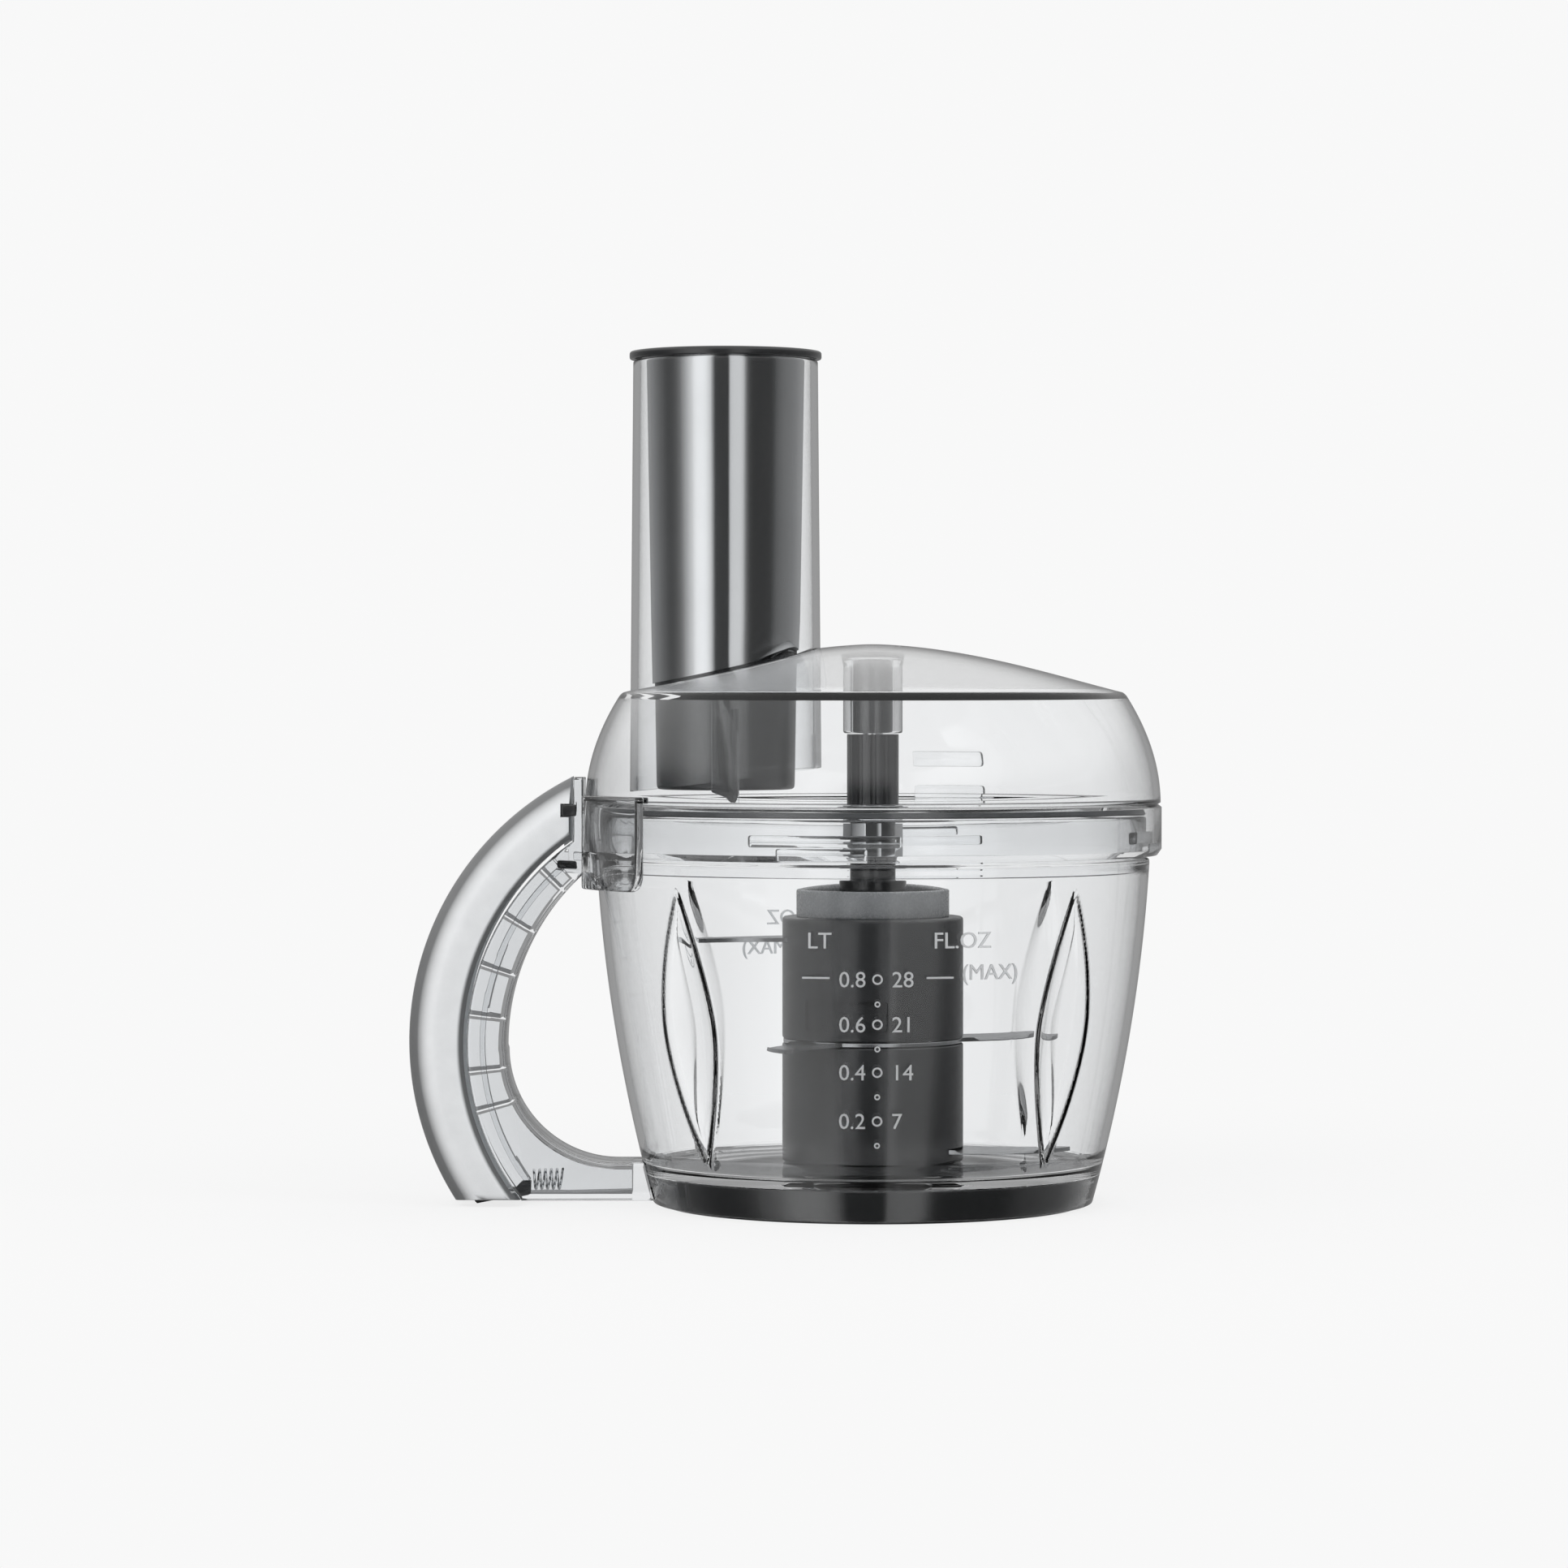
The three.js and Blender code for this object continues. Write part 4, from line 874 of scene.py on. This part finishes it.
finished("blade_upper", wing(22.8, 55.6, 78.6, 180), bladeSteel, "knife", ["upper_blade"])
hubPlate = spun(box(24.2, 26.7, 48.5, 49.7, 0.15, 0.2, 0.2, 0.15, steps=4), 96)
middleBlade = joined([hubPlate, wing(25, 58.5, 48.5, 231), wing(25, 58.5, 48.5, 18)])
finished("blade_middle", middleBlade, bladeSteel, "knife", ["middle_blade"])
finished("blade_lower", wing(22.8, 58.5, 16.2, -16), bladeSteel, "knife", ["lower_blade"])
print("blades ready")

connectorProfile = rounded([
    (0, 86), (10, 86, 0.2), (10, 100, 1), (6.8, 100, 0.6), (6.8, 108.6, 0.2), (0, 108.6),
], False)
connector = spun(connectorProfile, 64, False)
finished("stem_connector_post", connector, glossDark, "knife", ["stem_connector"])
stem = {"radius": 7.75, "bore": 3.3, "low": 117.3, "top": 139.7, "ribs": 12, "groove": 0.9}
nutOutline = rounded([(x, z, 0.8) for x, z in arc(0, 0, 9.2, 15, 345, 11)], steps=2)
nut = plate(nutOutline, 108.6, 116.3, 0.5)
nut = cutWith(nut, drill(stem["bore"], 110.3, 120))
finished("stem_nut_twelve", nut, polishedSteel, "knife", ["stem_nut"])
ringProfile = box(stem["bore"], 10.6, 116.3, 117.3, 0.1, 0.3, 0.3, 0.1, steps=4)
finished("stem_ring_disc", spun(ringProfile, 64), clearHandle, "knife", ["stem_ring"])
stemOutline = []
for k in range(stem["ribs"]):
    at = 360 / stem["ribs"] * k
    cx, cy = stem["radius"] * math.cos(math.radians(at)), stem["radius"] * math.sin(math.radians(at))
    stemOutline += arc(cx, cy, stem["groove"], at + 93, at + 267, 6)[::-1]
    stemOutline += arc(0, 0, stem["radius"], at + 7.5, at + 22.5, 3)
ribbed = plate(stemOutline, stem["low"], stem["top"])
ribbed = cutWith(ribbed, drill(stem["bore"], 110, 150))
finished("disc_stem_splined", ribbed, satinDark, "knife", ["disc_stem"])
pin = spun(rounded([(0, 110.6), (3, 110.6, 0.4), (3, 158, 1), (0, 158)], False), 40, False)
finished("stem_pin_rod", pin, polishedSteel, "knife", ["stem_pin"])
print("stem ready")

lid = {
    "radius": 86, "flareLow": 85.7, "wall": 2.0, "low": 104.4, "crease": 119.5, "topRadius": 75,
    "topEdge": 152.5, "dome": 14.5, "thick": 2.2, "boss": 8.85, "bore": 6.3, "bossLow": 140,
    "boreTop": 162.6,
}
tube = {
    "x": -43.9, "top": 251.4, "topRadius": 27.5, "lowRadius": 28.6, "wall": 2.2, "low": 123, "slant": 7,
}


def domeHeight(r):
    u = min(r / lid["topRadius"], 1)
    return lid["topEdge"] + lid["dome"] * (1 - u ** 1.65) * (1 - 0.22 * u ** 3)


def flareRadius(z):
    s = (z - lid["crease"]) / (lid["topEdge"] - lid["crease"])
    return lid["flareLow"] - (lid["flareLow"] - lid["topRadius"]) * s ** 2


def tubeRadius(z):
    s = (tube["top"] - z) / (tube["top"] - tube["low"])
    return tube["topRadius"] + (tube["lowRadius"] - tube["topRadius"]) * s


domeRows = [(r, domeHeight(r)) for r in [74.4 * i / 40 for i in range(41)]]
flareRows = [(flareRadius(z), z) for z in [151.6 - (151.6 - 120.1) * i / 24 for i in range(25)]]
innerFlare = [(flareRadius(z) - lid["wall"], z) for z in [121.3 + (150 - 121.3) * i / 20 for i in range(21)]]
innerDome = [(r, domeHeight(r) - lid["thick"]) for r in [70.5 - (70.5 - 9.6) * i / 36 for i in range(37)]]
lidSide = [
    (lid["flareLow"], 120.3), (85.6, 119.9, 0.2), (84.8, lid["crease"], 0.1), (lid["radius"], 118.6, 0.2),
    (lid["radius"], 106.3, 0.3), (84.7, lid["low"], 0.2), (84, lid["low"], 0.2), (84, 119.3, 0.3),
    (79.2, 119.3, 0.3), (79.2, 120.8, 0.3), (83.7, 120.8, 0.3), (83.7, 121.3),
]
boss, bore, bossLow, boreTop = lid["boss"], lid["bore"], lid["bossLow"], lid["boreTop"]
lidBoss = [
    (9.6, 163), (boss, 160, 0.8), (boss, bossLow, 0.8), (bore, bossLow, 0.5),
    (bore, boreTop, 0.5), (0, boreTop),
]
lidProfile = (
    domeRows + [(lid["topRadius"], 152.2)] + flareRows + rounded(lidSide, False)[1:-1]
    + innerFlare + innerDome + rounded(lidBoss, False)[1:]
)
lidMesh = spun(lidProfile, 144, closed=False)
holeRadius = tubeRadius(152) + 0.05
tubeHole = spun([(0, 146), (holeRadius, 146), (holeRadius, 175), (0, 175)], 96, closed=False)
lidMesh = cutWith(lidMesh, moved(tubeHole, x=tube["x"]))

lidLugLength = math.radians(18) * 84
extras = []
for k in range(4):
    outline = box(0, lidLugLength, 105, 108.4, 0.8)
    extras.append(wrapped(sliced(slab(outline, -0.1, 2.0, 0.3, 2), 1.5), 250 + 90 * k, lambda z: 84))
tab = {"radius": 90, "thick": 2.8, "low": 95, "top": 122.4, "start": 197, "end": 220}
tabLength = math.radians(tab["end"] - tab["start"]) * tab["radius"]


def onTab(bm):
    return wrapped(sliced(bm, 1.2), tab["start"], lambda z: tab["radius"])


tabOutline = box(0, tabLength, tab["low"], tab["top"], 1.2, 5.5, 0.8, 0.8, steps=7)
tabShape = onTab(slab(tabOutline, 0, tab["thick"], 0.6, 3))
flangeOutline = box(0, tabLength, 120.6, tab["top"], 0.3, 0.3, 0.5, 0.5)
tabShape = cutWith(tabShape, onTab(slab(flangeOutline, 2.6, 4.9)), "UNION")
stopOutline = box(0, math.radians(4) * tab["radius"], 100, 106, 0.4)
tabShape = cutWith(tabShape, onTab(slab(stopOutline, 2.6, 5.2)), "UNION")
lidMesh = cutWith(lidMesh, tabShape, "UNION")
cam = {"radius": 89.1, "low": 102.6, "top": 104.9, "start": 177.5, "angle": 5, "depth": 3.2}
camOutline = box(0, math.radians(cam["angle"]) * cam["radius"], cam["low"], cam["top"], 0.6)
camShape = sliced(slab(camOutline, 0, cam["depth"], 0.4, 2), 1.2)
extras.append(wrapped(camShape, cam["start"], lambda z: cam["radius"]))
lidRib = {"azimuth": 64, "length": 23, "heights": ((129, 133.6), (119.6, 123.2)), "reach": 1.6}
for low, high in lidRib["heights"]:
    outline = box(0, lidRib["length"], low, high, 1.2, 0.6, 0.6, 1.2, steps=4)
    shape = sliced(slab(outline, -0.1, lidRib["reach"], 0.3, 2), 1.5)
    extras.append(wrapped(shape, lidRib["azimuth"], lambda z: flareRadius(z) - lid["wall"]))
finished("lid_clear", joined([lidMesh, *extras]), clearWall, "lid", ["lid_cover"])
lidBush = spun(box(3.4, 6, 140.3, 162.3, 0.3, steps=4), 48)
finished("lid_bush_sleeve", lidBush, satinDark, "lid", ["lid_bush"])
lipSeal = rounded([
    (79.4, 117.6, 0.2), (80.8, 116.8, 0.1), (81.2, 117.2, 0.1), (80.2, 119, 0.2), (79.4, 119, 0.2),
], steps=3)
finished("lid_seal_ring", spun(lipSeal, 144), sealRubber, "lid_ring", ["lid_seal"])
print("lid ready")

tubeProfile = (
    [(tubeRadius(118) - tube["wall"], 118), (tubeRadius(118), 118)]
    + [(tubeRadius(z), z) for z in range(124, 250, 6)]
    + rounded([(27.52, 249), (27.5, 251.4, 0.8), (25.3, 251.4, 0.8), (25.32, 249)], False)
    + [(tubeRadius(z) - tube["wall"], z) for z in range(244, 122, -6)]
)
tubeMesh = spun(tubeProfile, 128)
slope = Vector((-tube["slant"], 0, 2 * tube["lowRadius"])).normalized()
cut = bmesh.ops.bisect_plane(
    tubeMesh, geom=tubeMesh.verts[:] + tubeMesh.edges[:] + tubeMesh.faces[:], dist=1e-7,
    plane_co=(0, 0, (tube["low"] + tube["slant"] / 2) * mm), plane_no=slope, clear_inner=True,
)
bmesh.ops.bridge_loops(tubeMesh, edges=[e for e in cut["geom_cut"] if isinstance(e, bmesh.types.BMEdge)])
closeUp(tubeMesh)
finShape = slab(box(3, 4.4, 120.5, 147.3, 0.3), -36.4, -28.3)
panelOutline = rounded([
    (-3.6, 123.4, 0.6), (4.4, 120.5, 2.2), (4.4, 141, 1), (-0.6, 150.2, 0.5), (-3.6, 150.2, 0.5),
], steps=5)
finShape = joined([finShape, slab(panelOutline, -33.6, -32.2, 0.3, 2)])
tubeMesh = moved(joined([tubeMesh, finShape]), x=tube["x"])
finished("feed_tube_clear", tubeMesh, clearWall, "lid", ["feed_tube"])

pusher = {
    "topRadius": 23.5, "taper": 0.0165, "sleeve": 0.5, "gap": 0.8, "low": 123.6, "floorTop": 125.6,
    "flange": 28.6, "flangeLow": 251.7, "top": 254.1, "sleeveLow": 150, "sleeveTop": 251.4, "steady": 174,
}


def sleeveRadius(z):
    return pusher["topRadius"] - pusher["taper"] * (pusher["sleeveTop"] - z)


low, flange, flangeLow, top = pusher["low"], pusher["flange"], pusher["flangeLow"], pusher["top"]
bodyProfile = rounded([
    (0, low), (sleeveRadius(low) - pusher["gap"], low, 1.5),
    (sleeveRadius(flangeLow) - pusher["gap"], flangeLow, 0.3), (flange, flangeLow, 0.7), (flange, top, 0.9),
    (20.7, top, 0.8), (18.6, pusher["floorTop"], 1.5), (0, pusher["floorTop"]),
], False)
cup = moved(spun(bodyProfile, 128, False), x=tube["x"])
finished("pusher_cup", cup, satinDark, "pusher", ["pusher_body"])

sleeveLow, sleeveTop, steady = pusher["sleeveLow"], pusher["sleeveTop"], pusher["steady"]
sleeveRows = [(sleeveRadius(z), z) for z in range(sleeveLow, 252, 6)] + [(sleeveRadius(sleeveTop), sleeveTop)]
sleeveProfile = sleeveRows + [(r - pusher["sleeve"], z) for r, z in sleeveRows[::-1]]
sleeve = moved(spun(sleeveProfile, 160), x=tube["x"])
# the sleeve's lower rows follow the dome
for v in sleeve.verts:
    z = v.co.z / mm
    domeTop = domeHeight(math.hypot(v.co.x, v.co.y) / mm) + 0.3
    if z < steady - 2:
        v.co.z = (domeTop + (steady - domeTop) * (z - sleeveLow) / (steady - sleeveLow)) * mm
finished("pusher_sleeve_steel", sleeve, polishedSteel, "pusher", ["pusher_sleeve"])
print("feed tube and pusher ready")

# the brightness of the plain background
paper = 0.94


def straightThrough(tree, path):
    # 1 for a ray that has only been bent by clear walls, not reflected
    unreflected = worked(tree, "LESS_THAN", path.outputs["Glossy Depth"], 0.5)
    return worked(tree, "MULTIPLY", path.outputs["Is Transmission Ray"], unreflected)


# cosines from the straight-back direction, and the brightness outside them
brightField = {"darkFrom": 0.6, "brightFrom": 0.86, "dark": 0.14}
floorData = {"size": 12, "shadow": 0.16, "fadeFrom": 0.12, "fadeTo": 0.42}
floorBm = bmesh.new()
bmesh.ops.create_grid(floorBm, x_segments=1, y_segments=1, size=floorData["size"])
floor = plainObject("studio_floor", floorBm)
floorMaterial, tree, shader, output = newMaterial("studio floor")
shader.inputs["Base Color"].default_value = (0.8, 0.8, 0.8, 1)
tree.links.new(ranged(tree, grain(tree, 30), 0.85, 0.95), shader.inputs["Roughness"])
glow = addNode(tree, "ShaderNodeEmission")
glow.inputs["Color"].default_value = (paper, paper, paper, 1)
path = addNode(tree, "ShaderNodeLightPath")
seen = worked(tree, "MAXIMUM", path.outputs["Is Camera Ray"], straightThrough(tree, path))
# the shadow fades out away from the object, so that no horizon shows
floorCoords = addNode(tree, "ShaderNodeTexCoord")
away = addNode(tree, "ShaderNodeVectorMath", operation="LENGTH")
tree.links.new(floorCoords.outputs["Object"], away.inputs[0])
shadowed = 1 - floorData["shadow"]
keep = smoothStep(tree, away.outputs["Value"], floorData["fadeFrom"], floorData["fadeTo"], shadowed, 1)
share = worked(tree, "MULTIPLY", seen, keep)
page = blended(tree, share, shader.outputs["BSDF"], glow.outputs["Emission"])
# the floor lets reflections see the studio
reflects = worked(tree, "GREATER_THAN", path.outputs["Glossy Depth"], 0.5)
clear = addNode(tree, "ShaderNodeBsdfTransparent")
tree.links.new(blended(tree, reflects, page, clear.outputs["BSDF"]), output.inputs["Surface"])
floor.data.materials.append(floorMaterial)

world = bpy.data.worlds.new("studio")
world.use_nodes = True
scene.world = world
tree = world.node_tree
sky = tree.nodes["Background"]
coords = addNode(tree, "ShaderNodeTexCoord")
split = addNode(tree, "ShaderNodeSeparateXYZ")
tree.links.new(coords.outputs["Generated"], split.inputs["Vector"])
behind = worked(tree, "MULTIPLY", split.outputs["Y"], -1)
turn = worked(tree, "ARCTAN2", split.outputs["X"], behind)
around = addNode(tree, "ShaderNodeMapRange")
fed(tree, around, (turn, -math.pi, math.pi))
# brightness round the horizon, in degrees from the front: minus is left
studio = [
    (-180, 0.3), (-150, 0.32), (-128, 0.24), (-104, 0.12), (-88, 0.07), (-74, 0.11), (-62, 0.34),
    (-50, 0.68), (-36, 1.02), (-24, 0.8), (-17, 0.26), (-13, 0.06), (4, 0.05), (8, 0.66), (20, 0.72),
    (29, 0.3), (35, 0.07), (44, 0.045), (70, 0.05), (84, 0.14), (118, 0.22), (150, 0.32), (180, 0.3),
]
curveTop = 2.5  # the curve's own values stay under 1
band = addNode(tree, "ShaderNodeFloatCurve")
curve = band.mapping.curves[0]
band.mapping.use_clip = False
for i, (degree, brightness) in enumerate(studio):
    x = (degree + 180) / 360
    y = brightness / curveTop
    if i < 1:
        curve.points[0].location = (x, y)
    elif i == len(studio) - 1:
        curve.points[-1].location = (x, y)
    else:
        curve.points.new(x, y)
for point in curve.points:
    point.handle_type = "AUTO_CLAMPED"
band.mapping.update()
tree.links.new(around.outputs["Result"], band.inputs["Value"])
level = worked(tree, "MULTIPLY", band.outputs["Value"], curveTop)
# the pattern fades out overhead
overhead = {"from": 0.1, "full": 0.4, "level": 0.85}
fade = smoothStep(tree, split.outputs["Z"], overhead["from"], overhead["full"])
reflected = between(tree, fade, level, overhead["level"])
path = addNode(tree, "ShaderNodeLightPath")
# a bright field stands behind the object, and the sides are dark
darkFrom, brightFrom = brightField["darkFrom"], brightField["brightFrom"]
through = smoothStep(tree, split.outputs["Y"], darkFrom, brightFrom, brightField["dark"], paper)
seenThrough = between(tree, straightThrough(tree, path), reflected, through)
seenFirst = between(tree, path.outputs["Is Camera Ray"], seenThrough, paper)
tree.links.new(seenFirst, sky.inputs["Strength"])
sky.inputs["Color"].default_value = (1, 1, 1, 1)

lamps = {"key": ((-0.7, -0.9, 1.1), 0.7, 9), "fill": ((0.9, -0.5, 0.9), 0.6, 4)}
for name, (place, size, power) in lamps.items():
    light = bpy.data.lights.new(name, "AREA")
    light.size = size
    light.energy = power
    lamp = bpy.data.objects.new(name, light)
    lamp.location = place
    lamp.rotation_euler = (Vector((0, 0, 0.1)) - Vector(place)).to_track_quat("-Z", "Y").to_euler()
    lamp.visible_glossy = False
    lamp.visible_transmission = False
    scene.collection.objects.link(lamp)

scene.view_settings.view_transform = "Standard"
scene.cycles.max_bounces = 28
scene.cycles.transmission_bounces = 28
scene.cycles.glossy_bounces = 8
scene.cycles.transparent_max_bounces = 28
print("studio ready")
